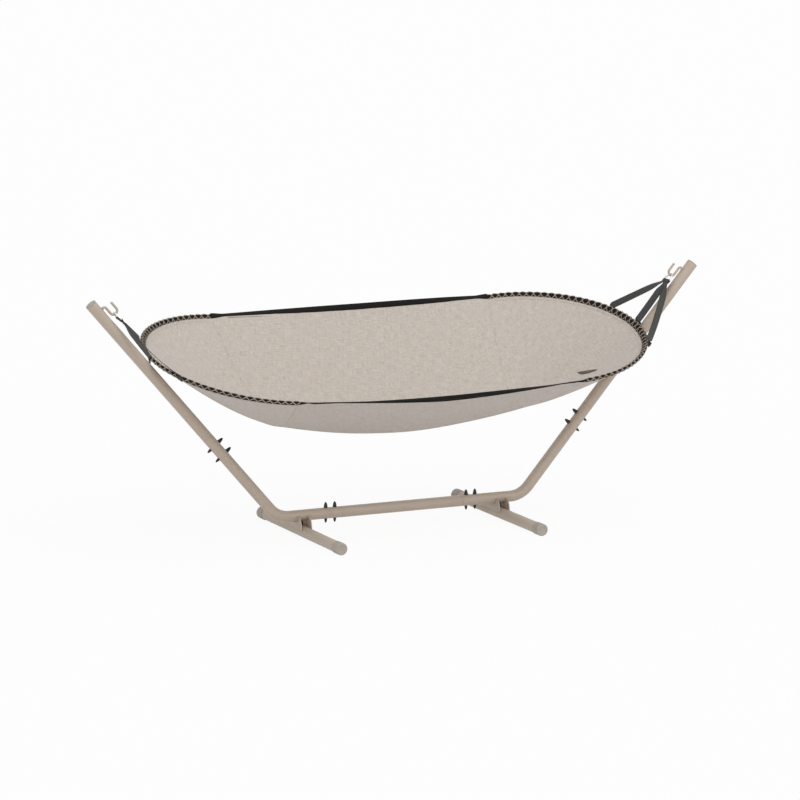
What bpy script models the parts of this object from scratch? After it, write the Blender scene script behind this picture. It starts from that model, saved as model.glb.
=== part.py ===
"""Freestanding hammock: a bolted tube stand with two hooks, and a cloth bed laced to two end bows.

Metres, +Z up. X runs along the stand's spine, and the floor is at Z = 0. The stand lies in the
plane Y = STAND_Y, which centres the whole object's box on the origin. Everything is modelled in
the stand's own coordinates, in which that plane is Y = 0, and two empties put it in place: one for
the stand, and one on the line through both hooks, on which the hammock swings.
"""

import math

import bmesh
import bpy
from mathutils import Vector

# Stand: tubes
STAND_Y = -0.0314
TUBE_R = 0.025
TUBE_WALL = 0.0018
TUBE_SIDES = 20
FIT_GAP = 0.0003
SPINE_Z = 0.0959
CORNER_X = 0.6031
ARM_ANGLE = math.radians(49.3)
ARM_LENGTH = 1.339
BEND_R = 0.12
BEND_STEPS = 5

# Stand: splices, measured from the line where two tubes meet
SPINE_SPLICE_X = 0.299
ARM_SPLICE = 0.511
SPINE_INSERT = 0.095
ARM_INSERT = 0.150
SPINE_BOLTS = (0.026, 0.070)
ARM_BOLTS = (0.0535, 0.112)
SHOULDER = 0.003

# Stand: splice bolts, their domed heads and their domed cap nuts
BOLT_R = 0.004
BOLT_HOLE_R = 0.0046
BOLT_SIDES = 10
HEAD_R = 0.007
HEAD_H = 0.019
NUT_R = 0.0095
NUT_H = 0.025
NUT_BORE = 0.012

# Stand: feet
FOOT_X = 0.489
FOOT_HALF = 0.4466
FOOT_CAP_R = 0.028
FOOT_CAP_LENGTH = 0.052
FOOT_CAP_END = 0.004
FOOT_AXIS_Z = FOOT_CAP_R * math.cos(math.pi / TUBE_SIDES)
PLATE_THICKNESS = 0.004
PLATE_INNER = 0.0223
PLATE_BOTTOM_Z = 0.0395
PLATE_HALF_WIDTH = 0.065
PLATE_TIP_Y = 0.029
SPACER_R = 0.0095
FOOT_HEAD_R = 0.0065
FOOT_HEAD_H = 0.006
TOOL_HOLE_R = 0.008

# Stand: hooks, placed by distance up the arm and distance from the arm's axis
HOOK_R = 0.0055
HOOK_ROOT = 0.0305
HOOK_LEG = 0.0405
HOOK_TOP = 1.2855
HOOK_TOP_R = 0.010
HOOK_TURN = 1.2425
HOOK_TURN_R = 0.0168
HOOK_TIP = 1.276
HOOK_SEAT_ANGLE = math.radians(12)

# Hammock: rim, two half-ellipse bows joined by straight sides, rolled about X
ROLL = math.radians(13.25)
BED_X = -0.005
BED_Y = 0.030
BED_Z = 0.8125
SIDE_HALF = 0.694
BOW_DEPTH = 0.490
HALF_WIDTH = 0.5135
TIP_LIFT = 0.0405
BOW_STEPS = 24
BOW_ROD_R = 0.0045
SLEEVE_BORE_R = 0.0052
SLEEVE_HALF_THICKNESS = 0.0058
SLEEVE_HALF_WIDTH_END = 0.008
SLEEVE_HALF_WIDTH_TIP = 0.013
SLEEVE_CHAMFER = 0.002
TILT_BOW_END = math.radians(45)
TILT_BOW_TIP = math.radians(40)
TILT_SIDE_MIDDLE = math.radians(60)
SAG_FRONT = 0.031
SAG_BACK = 0.0065
SAG_POWER = 1.5
LACE_R = 0.0015
LACE_UNDER = 0.0019
LACE_OVER = 0.0052
WEBBING_HALF_WIDTH = 0.015
WEBBING_THICKNESS = 0.0025

# Hammock: cloth
CLOTH_THICKNESS = 0.003
HEM_CLEARANCE = 0.0042
SEAM_X = 0.584
SEAM_GAP = 0.0003
SPINE_SHIFT = -0.035
DEPTH_MIDDLE = 0.378
DEPTH_SEAM = 0.308
KEEL_POWER = 1.86
FRONT_POWER = 1.40
BACK_POWER = 1.60
TIP_POWER = 1.31
FOLDS = 9
FOLD_DEPTH = 0.004
CLOTH_ROWS = 7
CLOTH_COLUMNS = 12
FAN_STEPS = 24

# Hammock: rings and suspension straps
RING_WIRE_R = 0.003
RING_APEX_BACK = 0.0102
RING_APEX_R = 0.0115
RING_BAR_DROP = 0.028
RING_BAR_HALF = 0.031
RING_CORNER_R = 0.005
STRAP_THICKNESS = 0.0024
STRAP_WIDTH_BAR = 0.014
STRAP_WIDTH = 0.025
STRAP_TAIL = 0.018
STRAPS = (("back", math.radians(20), 0.0152), ("middle", math.radians(-2), 0.0),
          ("front", math.radians(-27), -0.0152))

SIDES = (("left", -1), ("right", 1))
Y_AXIS = Vector((0, 1, 0))
Z_AXIS = Vector((0, 0, 1))


def make_material(name, colour, roughness, metallic=0.0):
    """A plain Principled material with one colour."""
    material = bpy.data.materials.new(name)
    material.use_nodes = True
    shader = material.node_tree.nodes["Principled BSDF"]
    shader.inputs["Base Color"].default_value = (*colour, 1.0)
    shader.inputs["Roughness"].default_value = roughness
    shader.inputs["Metallic"].default_value = metallic
    return material


def add_object(name, data, material, parent):
    """Puts mesh or curve data, drawn in the stand's coordinates, under one of the two empties."""
    obj = bpy.data.objects.new(name, data)
    obj.data.materials.append(material)
    obj.parent = parent
    obj.location = Vector((0, STAND_Y, 0)) - parent.location
    bpy.context.collection.objects.link(obj)
    return obj


def finish_mesh(bm, name, sharp_angle=40):
    """Turns a closed bmesh into mesh data with its faces pointing out and round parts smooth."""
    bmesh.ops.remove_doubles(bm, verts=bm.verts, dist=1e-6)
    bmesh.ops.recalc_face_normals(bm, faces=bm.faces)
    mesh = bpy.data.meshes.new(name)
    bm.to_mesh(mesh)
    bm.free()
    mesh.shade_smooth()
    mesh.set_sharp_from_angle(angle=math.radians(sharp_angle))
    return mesh


def circle(centre, axis_u, axis_v, radius, sides, turn=0.0):
    """Points of a circle, the first one on axis_u turned by the given angle."""
    points = []
    for step in range(sides):
        angle = turn + 2 * math.pi * step / sides
        points.append(centre + (axis_u * math.cos(angle) + axis_v * math.sin(angle)) * radius)
    return points


def loft(bm, rings, closed):
    """Skins rings of points. A closed loft joins its last ring to its first, else it is capped."""
    rows = [[bm.verts.new(point) for point in ring] for ring in rings]
    count = len(rows[0])
    pairs = list(zip(rows, rows[1:]))
    if closed:
        pairs.append((rows[-1], rows[0]))
    for near, far in pairs:
        for i in range(count):
            j = (i + 1) % count
            bm.faces.new((near[i], near[j], far[j], far[i]))
    if not closed:
        bm.faces.new(rows[0])
        bm.faces.new(rows[-1])


def turned(bm, profile, base, axis, sides, hollow=False, turn=0.0):
    """Turns a profile of (height, radius) pairs about an axis through base."""
    axis_u = Z_AXIS if abs(axis.y) > 0.9 else Y_AXIS
    axis_v = axis.cross(axis_u)
    rings = [circle(base + axis * height, axis_u, axis_v, max(radius, 1e-7), sides, turn)
             for height, radius in profile]
    loft(bm, rings, hollow)


def arm_axes(side):
    """Directions up an arm and square to it, towards its upper side."""
    along = Vector((side * math.cos(ARM_ANGLE), 0, math.sin(ARM_ANGLE)))
    square = Vector((-side * math.sin(ARM_ANGLE), 0, math.cos(ARM_ANGLE)))
    return along, square


def arm_point(side, distance, offset=0.0):
    """A point by its distance up the arm from the corner and its offset from the arm's axis."""
    along, square = arm_axes(side)
    return Vector((side * CORNER_X, 0, SPINE_Z)) + along * distance + square * offset


def splice_bolts():
    """Place, centre and direction (towards its cap nut) of each bolt of the four splices."""
    bolts = []
    for label, side in SIDES:
        for number, distance in enumerate(SPINE_BOLTS, 1):
            centre = Vector((side * (SPINE_SPLICE_X + distance), 0, SPINE_Z))
            bolts.append((f"spine_{label}_{number}", centre, Z_AXIS))
        for number, distance in enumerate(ARM_BOLTS, 1):
            centre = arm_point(side, ARM_SPLICE - distance)
            bolts.append((f"arm_{label}_{number}", centre, arm_axes(side)[1]))
    return bolts


def drill(obj, holes, parent):
    """Cuts round holes, given as (centre, axis, radius, length), out of a tube."""
    bm = bmesh.new()
    for centre, axis, radius, length in holes:
        turned(bm, ((-length / 2, radius), (length / 2, radius)), centre, axis, BOLT_SIDES)
    mesh = finish_mesh(bm, obj.name + "_drill")
    cutter = add_object(obj.name + "_drill", mesh, obj.data.materials[0], parent)
    cutter.hide_render = True
    cutter.display_type = "WIRE"
    cut = obj.modifiers.new("bolt_holes", "BOOLEAN")
    cut.operation = "DIFFERENCE"
    cut.solver = "EXACT"
    cut.object = cutter


def bolt_holes(wanted):
    """Drill holes for the splice bolts whose centres pass a test."""
    return [(centre, axis, BOLT_HOLE_R, 3 * TUBE_R)
            for _, centre, axis in splice_bolts() if wanted(centre)]


def narrowed_end_profile(splice, insert):
    """Outer and inner (distance, radius) pairs of a tube's narrowed end, from its tip inwards."""
    outer_r = TUBE_R - TUBE_WALL - FIT_GAP
    inner_r = outer_r - TUBE_WALL
    tip = splice - insert
    outer = [(tip, outer_r), (splice + FIT_GAP, outer_r), (splice + FIT_GAP, TUBE_R)]
    inner = [(tip, inner_r), (splice, inner_r), (splice + SHOULDER, TUBE_R - TUBE_WALL)]
    return outer, inner


def build_centre_tube(material, parent):
    outer, inner = narrowed_end_profile(-SPINE_SPLICE_X, SPINE_INSERT)
    far_outer = [(-distance, radius) for distance, radius in reversed(outer)]
    far_inner = [(-distance, radius) for distance, radius in reversed(inner)]
    profile = outer + far_outer + list(reversed(inner + far_inner))
    bm = bmesh.new()
    turned(bm, profile, Vector((0, 0, SPINE_Z)), Vector((1, 0, 0)), TUBE_SIDES, hollow=True)
    tube = add_object("centre_tube", finish_mesh(bm, "centre_tube"), material, parent)
    drill(tube, bolt_holes(lambda centre: abs(centre.x) < SPINE_SPLICE_X + SPINE_INSERT), parent)


def corner_path(side):
    """Centres and directions along a corner tube, from its spine end up to its arm end."""
    along, _ = arm_axes(side)
    tangent_length = BEND_R * math.tan(ARM_ANGLE / 2)
    bend_x = CORNER_X - tangent_length
    outwards = Vector((side, 0, 0))
    path = [(Vector((side * SPINE_SPLICE_X, 0, SPINE_Z)), outwards)]
    for step in range(BEND_STEPS + 1):
        angle = ARM_ANGLE * step / BEND_STEPS
        centre = Vector((side * (bend_x + BEND_R * math.sin(angle)), 0,
                         SPINE_Z + BEND_R * (1 - math.cos(angle))))
        path.append((centre, Vector((side * math.cos(angle), 0, math.sin(angle)))))
    path.append((arm_point(side, ARM_SPLICE), along))
    return path


def build_corner_tube(label, side, material, parent):
    path = corner_path(side)
    bm = bmesh.new()
    outer = [circle(centre, Y_AXIS, direction.cross(Y_AXIS), TUBE_R, TUBE_SIDES)
             for centre, direction in path]
    inner = [circle(centre, Y_AXIS, direction.cross(Y_AXIS), TUBE_R - TUBE_WALL, TUBE_SIDES)
             for centre, direction in reversed(path)]
    loft(bm, outer + inner, closed=True)
    name = "corner_tube_" + label
    tube = add_object(name, finish_mesh(bm, name), material, parent)
    holes = bolt_holes(lambda centre: centre.x * side > 0)
    lower_wall = Vector((side * FOOT_X, 0, SPINE_Z - TUBE_R))
    holes.append((lower_wall, Z_AXIS, BOLT_HOLE_R, TUBE_R))
    drill(tube, holes, parent)


def build_arm(label, side, coat, plastic, parent):
    along, _ = arm_axes(side)
    plug_end = 0.003
    top = ARM_LENGTH - plug_end
    outer, inner = narrowed_end_profile(ARM_SPLICE, ARM_INSERT)
    bore_r = TUBE_R - TUBE_WALL
    profile = outer + [(top, TUBE_R), (top, bore_r)] + list(reversed(inner))
    base = arm_point(side, 0)
    bm = bmesh.new()
    turned(bm, profile, base, along, TUBE_SIDES, hollow=True)
    name = "arm_tube_" + label
    tube = add_object(name, finish_mesh(bm, name), coat, parent)
    drill(tube, bolt_holes(lambda centre: centre.x * side > CORNER_X), parent)

    stem_r = bore_r - FIT_GAP
    plug = ((-0.018, stem_r - 0.001), (-0.016, stem_r), (FIT_GAP, stem_r), (FIT_GAP, TUBE_R),
            (0.001, TUBE_R), (0.0025, TUBE_R - 0.004), (plug_end + 0.001, 0))
    bm = bmesh.new()
    turned(bm, plug, arm_point(side, top), along, TUBE_SIDES)
    add_object("arm_plug_" + label, finish_mesh(bm, "arm_plug_" + label), plastic, parent)


def build_splice_fasteners(black, parent):
    """The eight splice bolts, each with its domed head on one side and a domed cap nut."""
    seat = TUBE_R + FIT_GAP
    bore_r = BOLT_R + FIT_GAP
    bolt = ((-seat - HEAD_H, 0), (-seat - 0.85 * HEAD_H, 0.6 * HEAD_R), (-seat - 0.5 * HEAD_H, HEAD_R),
            (-seat, HEAD_R), (-seat, BOLT_R), (seat + NUT_BORE - 2 * FIT_GAP, BOLT_R))
    nut = ((NUT_BORE, 0), (NUT_BORE, bore_r), (0, bore_r), (0, NUT_R), (0.5 * NUT_H, NUT_R),
           (0.85 * NUT_H, 0.6 * NUT_R), (NUT_H, 0))
    for place, centre, axis in splice_bolts():
        for name, profile, base in (("splice_bolt_" + place, bolt, centre),
                                    ("cap_nut_" + place, nut, centre + axis * seat)):
            bm = bmesh.new()
            turned(bm, profile, base, axis, BOLT_SIDES)
            add_object(name, finish_mesh(bm, name, 60), black, parent)


def build_foot_tube(label, side, material, parent):
    half = FOOT_HALF - FOOT_CAP_END - FIT_GAP
    bore_r = TUBE_R - TUBE_WALL
    profile = ((-half, TUBE_R), (half, TUBE_R), (half, bore_r), (-half, bore_r))
    centre = Vector((side * FOOT_X, 0, FOOT_AXIS_Z))
    bm = bmesh.new()
    turned(bm, profile, centre, Y_AXIS, TUBE_SIDES, hollow=True, turn=math.pi / TUBE_SIDES)
    name = "foot_tube_" + label
    tube = add_object(name, finish_mesh(bm, name), material, parent)
    upper_wall = centre + Z_AXIS * TUBE_R
    lower_wall = centre - Z_AXIS * TUBE_R
    drill(tube, [(upper_wall, Z_AXIS, BOLT_HOLE_R, TUBE_R),
                 (lower_wall, Z_AXIS, TOOL_HOLE_R, TUBE_R)], parent)


def build_foot_cap(label, side, end_label, end, material, parent):
    """A cup over one end of a foot tube, with a flat facet on the floor."""
    bore_r = TUBE_R + FIT_GAP
    skirt = FOOT_CAP_LENGTH - FOOT_CAP_END
    lip = 0.002
    profile = ((0, bore_r), (-skirt, bore_r), (-skirt, FOOT_CAP_R), (FOOT_CAP_END - lip, FOOT_CAP_R),
               (FOOT_CAP_END, FOOT_CAP_R - lip), (FOOT_CAP_END, 0), (0, 0))
    base = Vector((side * FOOT_X, end * (FOOT_HALF - FOOT_CAP_END), FOOT_AXIS_Z))
    bm = bmesh.new()
    turned(bm, profile, base, Y_AXIS * end, TUBE_SIDES, hollow=True, turn=math.pi / TUBE_SIDES)
    name = "foot_cap_" + label + "_" + end_label
    add_object(name, finish_mesh(bm, name), material, parent)


def plate_outline():
    """Half-dome outline in (y, z) with a saddle for the spine cut into its top."""
    saddle_r = TUBE_R + FIT_GAP
    tip_z = SPINE_Z + 0.003
    steps = TUBE_SIDES // 2
    outline = []
    for step in range(steps + 1):
        angle = math.pi * step / steps
        outline.append((-saddle_r * math.cos(angle), SPINE_Z - saddle_r * math.sin(angle)))
    outline.append((PLATE_TIP_Y - 0.002, tip_z))
    shoulder_steps = 6
    for step in range(shoulder_steps + 1):
        angle = math.pi / 2 * (1 - step / shoulder_steps)
        y = PLATE_TIP_Y + (PLATE_HALF_WIDTH - PLATE_TIP_Y) * math.cos(angle)
        z = PLATE_BOTTOM_Z + (tip_z - PLATE_BOTTOM_Z) * math.sin(angle)
        outline.append((y, z))
    mirrored = [(-y, z) for y, z in reversed(outline[steps + 1:])]
    return outline + mirrored


def build_bracket_plate(name, x, material, parent):
    bm = bmesh.new()
    outline = plate_outline()
    rings = [[Vector((x + offset, y, z)) for y, z in outline]
             for offset in (-PLATE_THICKNESS / 2, PLATE_THICKNESS / 2)]
    loft(bm, rings, closed=False)
    add_object(name, finish_mesh(bm, name), material, parent)


def build_foot_fasteners(label, side, steel, plastic, parent):
    """Under a corner tube: a spacer bush, and the bolt from inside the foot up into the spine."""
    bore_height = math.sqrt((TUBE_R - TUBE_WALL) ** 2 - FOOT_HEAD_R ** 2)
    head_z = FOOT_AXIS_Z + bore_height - 2 * FIT_GAP
    foot_top_z = FOOT_AXIS_Z + TUBE_R + FIT_GAP
    spine_bottom_z = SPINE_Z - TUBE_R - FIT_GAP
    bolt = ((head_z - FOOT_HEAD_H, FOOT_HEAD_R), (head_z, FOOT_HEAD_R), (head_z, BOLT_R),
            (spine_bottom_z + 0.014, BOLT_R))
    spacer_bore = BOLT_R + 2 * FIT_GAP
    spacer = ((foot_top_z, SPACER_R), (spine_bottom_z, SPACER_R),
              (spine_bottom_z, spacer_bore), (foot_top_z, spacer_bore))
    base = Vector((side * FOOT_X, 0, 0))
    shank = bmesh.new()
    turned(shank, bolt, base, Z_AXIS, BOLT_SIDES)
    add_object("foot_bolt_" + label, finish_mesh(shank, "foot_bolt_" + label), steel, parent)
    bush = bmesh.new()
    turned(bush, spacer, base, Z_AXIS, 16, hollow=True)
    add_object("foot_spacer_" + label, finish_mesh(bush, "foot_spacer_" + label), plastic, parent)


def add_rod(name, points, radius, resolution, material, parent, cyclic=False):
    """A round rod or cord along points, as a curve with a bevel."""
    curve = bpy.data.curves.new(name, "CURVE")
    curve.dimensions = "3D"
    curve.bevel_depth = radius
    curve.bevel_resolution = resolution
    curve.use_fill_caps = True
    spline = curve.splines.new("POLY")
    spline.points.add(len(points) - 1)
    for target, point in zip(spline.points, points):
        target.co = (*point, 1.0)
    spline.use_cyclic_u = cyclic
    spline.use_smooth = True
    return add_object(name, curve, material, parent)


def hook_points(side):
    """Centre line of a hook: out of the arm, down along it, round the seat and up to the tip."""
    points = [arm_point(side, HOOK_TOP, TUBE_R + FIT_GAP)]
    bend_s = HOOK_TOP - HOOK_TOP_R
    for step in range(5):
        angle = math.pi / 2 * step / 4
        points.append(arm_point(side, bend_s + HOOK_TOP_R * math.cos(angle),
                                HOOK_ROOT + HOOK_TOP_R * math.sin(angle)))
    turn_offset = HOOK_LEG + HOOK_TURN_R
    for step in range(11):
        angle = math.pi * step / 10
        points.append(arm_point(side, HOOK_TURN - HOOK_TURN_R * math.sin(angle),
                                turn_offset - HOOK_TURN_R * math.cos(angle)))
    points.append(arm_point(side, HOOK_TIP, turn_offset + HOOK_TURN_R))
    return points


def hook_seat(side):
    """The point of the hook's centre line that the ring bears on, which is also the swing axis."""
    turn_offset = HOOK_LEG + HOOK_TURN_R
    return arm_point(side, HOOK_TURN - HOOK_TURN_R * math.cos(HOOK_SEAT_ANGLE),
                     turn_offset - HOOK_TURN_R * math.sin(HOOK_SEAT_ANGLE))


BED_CENTRE = Vector((BED_X, BED_Y, BED_Z))
ACROSS = Vector((0, math.cos(ROLL), math.sin(ROLL)))
UPWARD = Vector((0, -math.sin(ROLL), math.cos(ROLL)))


def bow_station(side, angle):
    """Centre, outward edge direction and face normal of the rim's band at an angle from the tip."""
    outwards = Vector((side, 0, 0))
    centre = (BED_CENTRE + outwards * (SIDE_HALF + BOW_DEPTH * math.cos(angle))
              + ACROSS * (HALF_WIDTH * math.sin(angle)) + UPWARD * (TIP_LIFT * math.cos(angle)))
    tangent = (-outwards * (BOW_DEPTH * math.sin(angle)) + ACROSS * (HALF_WIDTH * math.cos(angle))
               - UPWARD * (TIP_LIFT * math.sin(angle))).normalized()
    plane_normal = (UPWARD * BOW_DEPTH - outwards * TIP_LIFT).normalized()
    radial = tangent.cross(plane_normal)
    if radial.dot(centre - BED_CENTRE) < 0:
        radial.negate()
    tilt = TILT_BOW_END + (TILT_BOW_TIP - TILT_BOW_END) * math.cos(angle) ** 2
    edge = radial * math.cos(tilt) + plane_normal * math.sin(tilt)
    face = plane_normal * math.cos(tilt) - radial * math.sin(tilt)
    return centre, edge, face


def side_station(end, x):
    """The same for the slack sides, where end is -1 at the front and 1 at the back."""
    run = min(abs(x / SIDE_HALF), 1.0)
    sag = (SAG_FRONT if end < 0 else SAG_BACK) * (1 - run ** SAG_POWER)
    centre = BED_CENTRE + Vector((x, 0, -sag)) + ACROSS * (end * HALF_WIDTH)
    tilt = TILT_BOW_END + (TILT_SIDE_MIDDLE - TILT_BOW_END) * (1 - run ** 2)
    radial = ACROSS * end
    edge = radial * math.cos(tilt) + UPWARD * math.sin(tilt)
    face = UPWARD * math.cos(tilt) - radial * math.sin(tilt)
    return centre, edge, face


def sleeve_half_width(angle):
    """Half the width of the edge sleeve, widest at the tip of the bow."""
    extra = SLEEVE_HALF_WIDTH_TIP - SLEEVE_HALF_WIDTH_END
    return SLEEVE_HALF_WIDTH_END + extra * math.cos(angle) ** 2


def bow_angles(steps=BOW_STEPS, limit=math.pi / 2):
    return [-limit + 2 * limit * step / steps for step in range(steps + 1)]


def sleeve_outline(angle):
    """Chamfered outline of the sleeve in (edge, face) distances."""
    wide, thick, cut = sleeve_half_width(angle), SLEEVE_HALF_THICKNESS, SLEEVE_CHAMFER
    quarter = ((wide, thick - cut), (wide - cut, thick))
    corners = [quarter[0], quarter[1], (-quarter[1][0], quarter[1][1]), (-quarter[0][0], quarter[0][1])]
    return corners + [(-a, -b) for a, b in corners]


def build_bow(label, side, steel, cover, parent):
    """The bent rod of one end of the rim and the cover sleeve over it."""
    inset = math.radians(0.5)
    angles = bow_angles()
    rod_angles = [-math.pi / 2 + inset] + angles[1:-1] + [math.pi / 2 - inset]
    add_rod("end_bow_" + label, [bow_station(side, angle)[0] for angle in rod_angles],
            BOW_ROD_R, 2, steel, parent)
    outer, bore = [], []
    for angle in angles:
        centre, edge, face = bow_station(side, angle)
        outer.append([centre + edge * a + face * b for a, b in sleeve_outline(angle)])
        bore.append(circle(centre, edge, face, SLEEVE_BORE_R, 8))
    bm = bmesh.new()
    loft(bm, outer + list(reversed(bore)), closed=True)
    name = "edge_sleeve_" + label
    add_object(name, finish_mesh(bm, name), cover, parent)


def lace_points(side, lift, start_at_inner):
    """One cord's way round the sleeve: a long crossing on top, then straight back underneath."""
    stations = []
    for angle in bow_angles():
        centre, edge, face = bow_station(side, angle)
        wide = edge * (sleeve_half_width(angle) + lift)
        thick = face * (SLEEVE_HALF_THICKNESS + lift)
        stations.append({(out, top): centre + wide * out + thick * top
                         for out in (-1, 1) for top in (-1, 1)})
    first = -1 if start_at_inner else 1
    turn = (((first, 1), 0.06), ((-first, 1), 0.92), ((-first, -1), 0.94), ((first, -1), 0.99))
    points = []
    for near, far in zip(stations, stations[1:]):
        for corner, share in turn:
            points.append(near[corner].lerp(far[corner], share))
    return points


def least_gap(points, radius):
    """Least distance between a cord's surface and itself, past the points next to each other."""
    return min((a - b).length for i, a in enumerate(points) for b in points[i + 3:]) - 2 * radius


def build_lacing(label, side, cord, parent):
    for layer, lift, start_at_inner in (("under", LACE_UNDER, False), ("over", LACE_OVER, True)):
        points = lace_points(side, lift, start_at_inner)
        name = "lacing_" + layer + "_" + label
        print(name, "least gap to itself in mm:", round(1000 * least_gap(points, LACE_R), 2))
        add_rod(name, points, LACE_R, 0, cord, parent)


def build_side_webbing(name, end, material, parent):
    """The webbing between the two bows along one side of the bed."""
    half = SIDE_HALF - 0.002
    steps = 12
    rings = []
    for step in range(steps + 1):
        centre, edge, face = side_station(end, -half + 2 * half * step / steps)
        wide, thick = edge * WEBBING_HALF_WIDTH, face * WEBBING_THICKNESS / 2
        rings.append([centre + wide + thick, centre - wide + thick,
                      centre - wide - thick, centre + wide - thick])
    bm = bmesh.new()
    loft(bm, rings, closed=False)
    add_object(name, finish_mesh(bm, name), material, parent)


def keel_point(x):
    """The lowest line of the bed, deepest in the middle."""
    drop = DEPTH_MIDDLE - (DEPTH_MIDDLE - DEPTH_SEAM) * abs(x / SEAM_X) ** KEEL_POWER
    return Vector((BED_X + x, BED_Y + SPINE_SHIFT, BED_Z - drop))


def hem_on_side(end, x):
    centre, edge, _ = side_station(end, x)
    return centre - edge * (WEBBING_HALF_WIDTH + HEM_CLEARANCE)


def hem_on_bow(side, angle):
    centre, edge, _ = bow_station(side, angle)
    return centre - edge * (sleeve_half_width(angle) + LACE_OVER + LACE_R + HEM_CLEARANCE)


def cloth_pair(keel, hem, share, power):
    """Lower and upper surface of the cloth, a share of the way from the keel up to the hem."""
    run = math.hypot(hem.x - keel.x, hem.y - keel.y)
    rise = hem.z - keel.z
    lower = keel.lerp(hem, share)
    lower.z = keel.z + rise * share ** power
    slope = power * share ** (power - 1) * rise / run
    upper = lower + Z_AXIS * (CLOTH_THICKNESS * math.hypot(1, slope))
    return lower, upper


def build_slab(name, grid, material, parent):
    """A closed sheet from rows of (lower, upper) point pairs."""
    bm = bmesh.new()
    rings = [[lower for lower, _ in row] + [upper for _, upper in reversed(row)] for row in grid]
    loft(bm, rings, closed=False)
    ends = [face for face in bm.faces if len(face.verts) > 4]
    for face in ends:
        verts = list(face.verts)
        half = len(verts) // 2
        bm.faces.remove(face)
        for i in range(half - 1):
            bm.faces.new((verts[i], verts[i + 1], verts[-2 - i], verts[-1 - i]))
    return add_object(name, finish_mesh(bm, name, 60), material, parent)


def build_centre_panel(material, parent):
    shares = [row / CLOTH_ROWS for row in range(CLOTH_ROWS + 1)]
    grid = []
    for column in range(CLOTH_COLUMNS + 1):
        run = 2 * column / CLOTH_COLUMNS - 1
        keel = keel_point(run * SEAM_X)
        front, back = hem_on_side(-1, run * SIDE_HALF), hem_on_side(1, run * SIDE_HALF)
        row = [cloth_pair(keel, front, share, FRONT_POWER) for share in reversed(shares[1:])]
        row += [cloth_pair(keel, back, share, BACK_POWER) for share in shares]
        inwards = Vector((-SEAM_GAP * run, 0, 0))
        grid.append([(lower + inwards, upper + inwards) for lower, upper in row])
    build_slab("bed_panel_centre", grid, material, parent)


def end_pair(side, angle, share):
    """Lower and upper surface of an end panel, with shallow folds that fan out from its foot."""
    side_power = FRONT_POWER if angle < 0 else BACK_POWER
    power = side_power + (TIP_POWER - side_power) * math.cos(angle)
    fold = FOLD_DEPTH * math.sin(FOLDS * angle) * math.sin(math.pi * share) ** 2 * math.cos(angle)
    shift = Vector((side * SEAM_GAP, 0, fold))
    pair = cloth_pair(keel_point(side * SEAM_X), hem_on_bow(side, angle), share, power)
    return tuple(point + shift for point in pair)


def build_end_panel(label, side, material, parent):
    shares = [row / CLOTH_ROWS for row in range(CLOTH_ROWS + 1)]
    grid = [[end_pair(side, angle, share) for share in shares] for angle in bow_angles(FAN_STEPS)]
    build_slab("bed_panel_" + label, grid, material, parent)


def pull_direction(side):
    """Direction in the stand's plane in which the straps pull a ring off its hook."""
    target = bow_station(side, 0)[0]
    seat = hook_seat(side)
    return Vector((target.x - seat.x, 0, target.z - seat.z)).normalized()


def ring_points(side):
    """Centre line of the triangular ring, round apex over the hook and straight bar below."""
    seat, pull = hook_seat(side), pull_direction(side)
    apex_centre = RING_APEX_R - RING_APEX_BACK
    corner_drop = RING_BAR_DROP - RING_CORNER_R
    corner_y = RING_BAR_HALF - RING_CORNER_R
    half = []
    for step in range(4):
        angle = math.radians(90 - 22 * step)
        half.append((apex_centre - RING_APEX_R * math.sin(angle), RING_APEX_R * math.cos(angle)))
    for step in range(4):
        angle = math.radians(-24 + 38 * step)
        half.append((corner_drop + RING_CORNER_R * math.sin(angle),
                     corner_y + RING_CORNER_R * math.cos(angle)))
    loop = half + [(drop, -y) for drop, y in reversed(half[1:])]
    return [seat + pull * drop + Y_AXIS * y for drop, y in loop]


def strap_rings(side, angle, bar_y):
    """Sections of one strap: a loop over the ring's bar, then down to the rim."""
    pull = pull_direction(side)
    bar = hook_seat(side) + pull * RING_BAR_DROP + Y_AXIS * bar_y
    centre, edge, _ = bow_station(side, angle)
    clearance = sleeve_half_width(angle) + LACE_OVER + LACE_R + 2 * STRAP_THICKNESS
    end = centre + edge * clearance
    run = end - bar
    down = Vector((run.x, 0, run.z)).normalized()
    square = Y_AXIS.cross(down)
    if square.z < 0:
        square.negate()
    loop_r = RING_WIRE_R + FIT_GAP + STRAP_THICKNESS / 2
    narrow = 0.75 * STRAP_THICKNESS
    path = [bar + down * STRAP_TAIL - square * narrow, bar + down * 0.006 - square * loop_r * 0.85]
    for step in range(7):
        turn = math.pi * step / 6
        path.append(bar - square * loop_r * math.cos(turn) - down * loop_r * math.sin(turn))
    path.append(bar + down * 0.006 + square * loop_r * 0.85)
    main_start = bar + down * STRAP_TAIL + square * narrow
    looped = len(path)
    main_steps = 5
    for step in range(main_steps + 1):
        path.append(main_start.lerp(end, step / main_steps))
    rim_tangent = (bow_station(side, angle + 0.01)[0] - bow_station(side, angle - 0.01)[0]).normalized()
    rings = []
    for i, point in enumerate(path):
        before, after = path[max(i - 1, 0)], path[min(i + 1, len(path) - 1)]
        direction = (after - before).normalized()
        share = min(max((i - looped) / main_steps, 0.0), 1.0)
        across = Y_AXIS.lerp(rim_tangent, share)
        across = (across - direction * across.dot(direction)).normalized()
        width = STRAP_WIDTH_BAR + (STRAP_WIDTH - STRAP_WIDTH_BAR) * min(2 * share, 1.0)
        wide, thick = across * width / 2, across.cross(direction) * STRAP_THICKNESS / 2
        rings.append([point + wide + thick, point - wide + thick,
                      point - wide - thick, point + wide - thick])
    return rings


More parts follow.
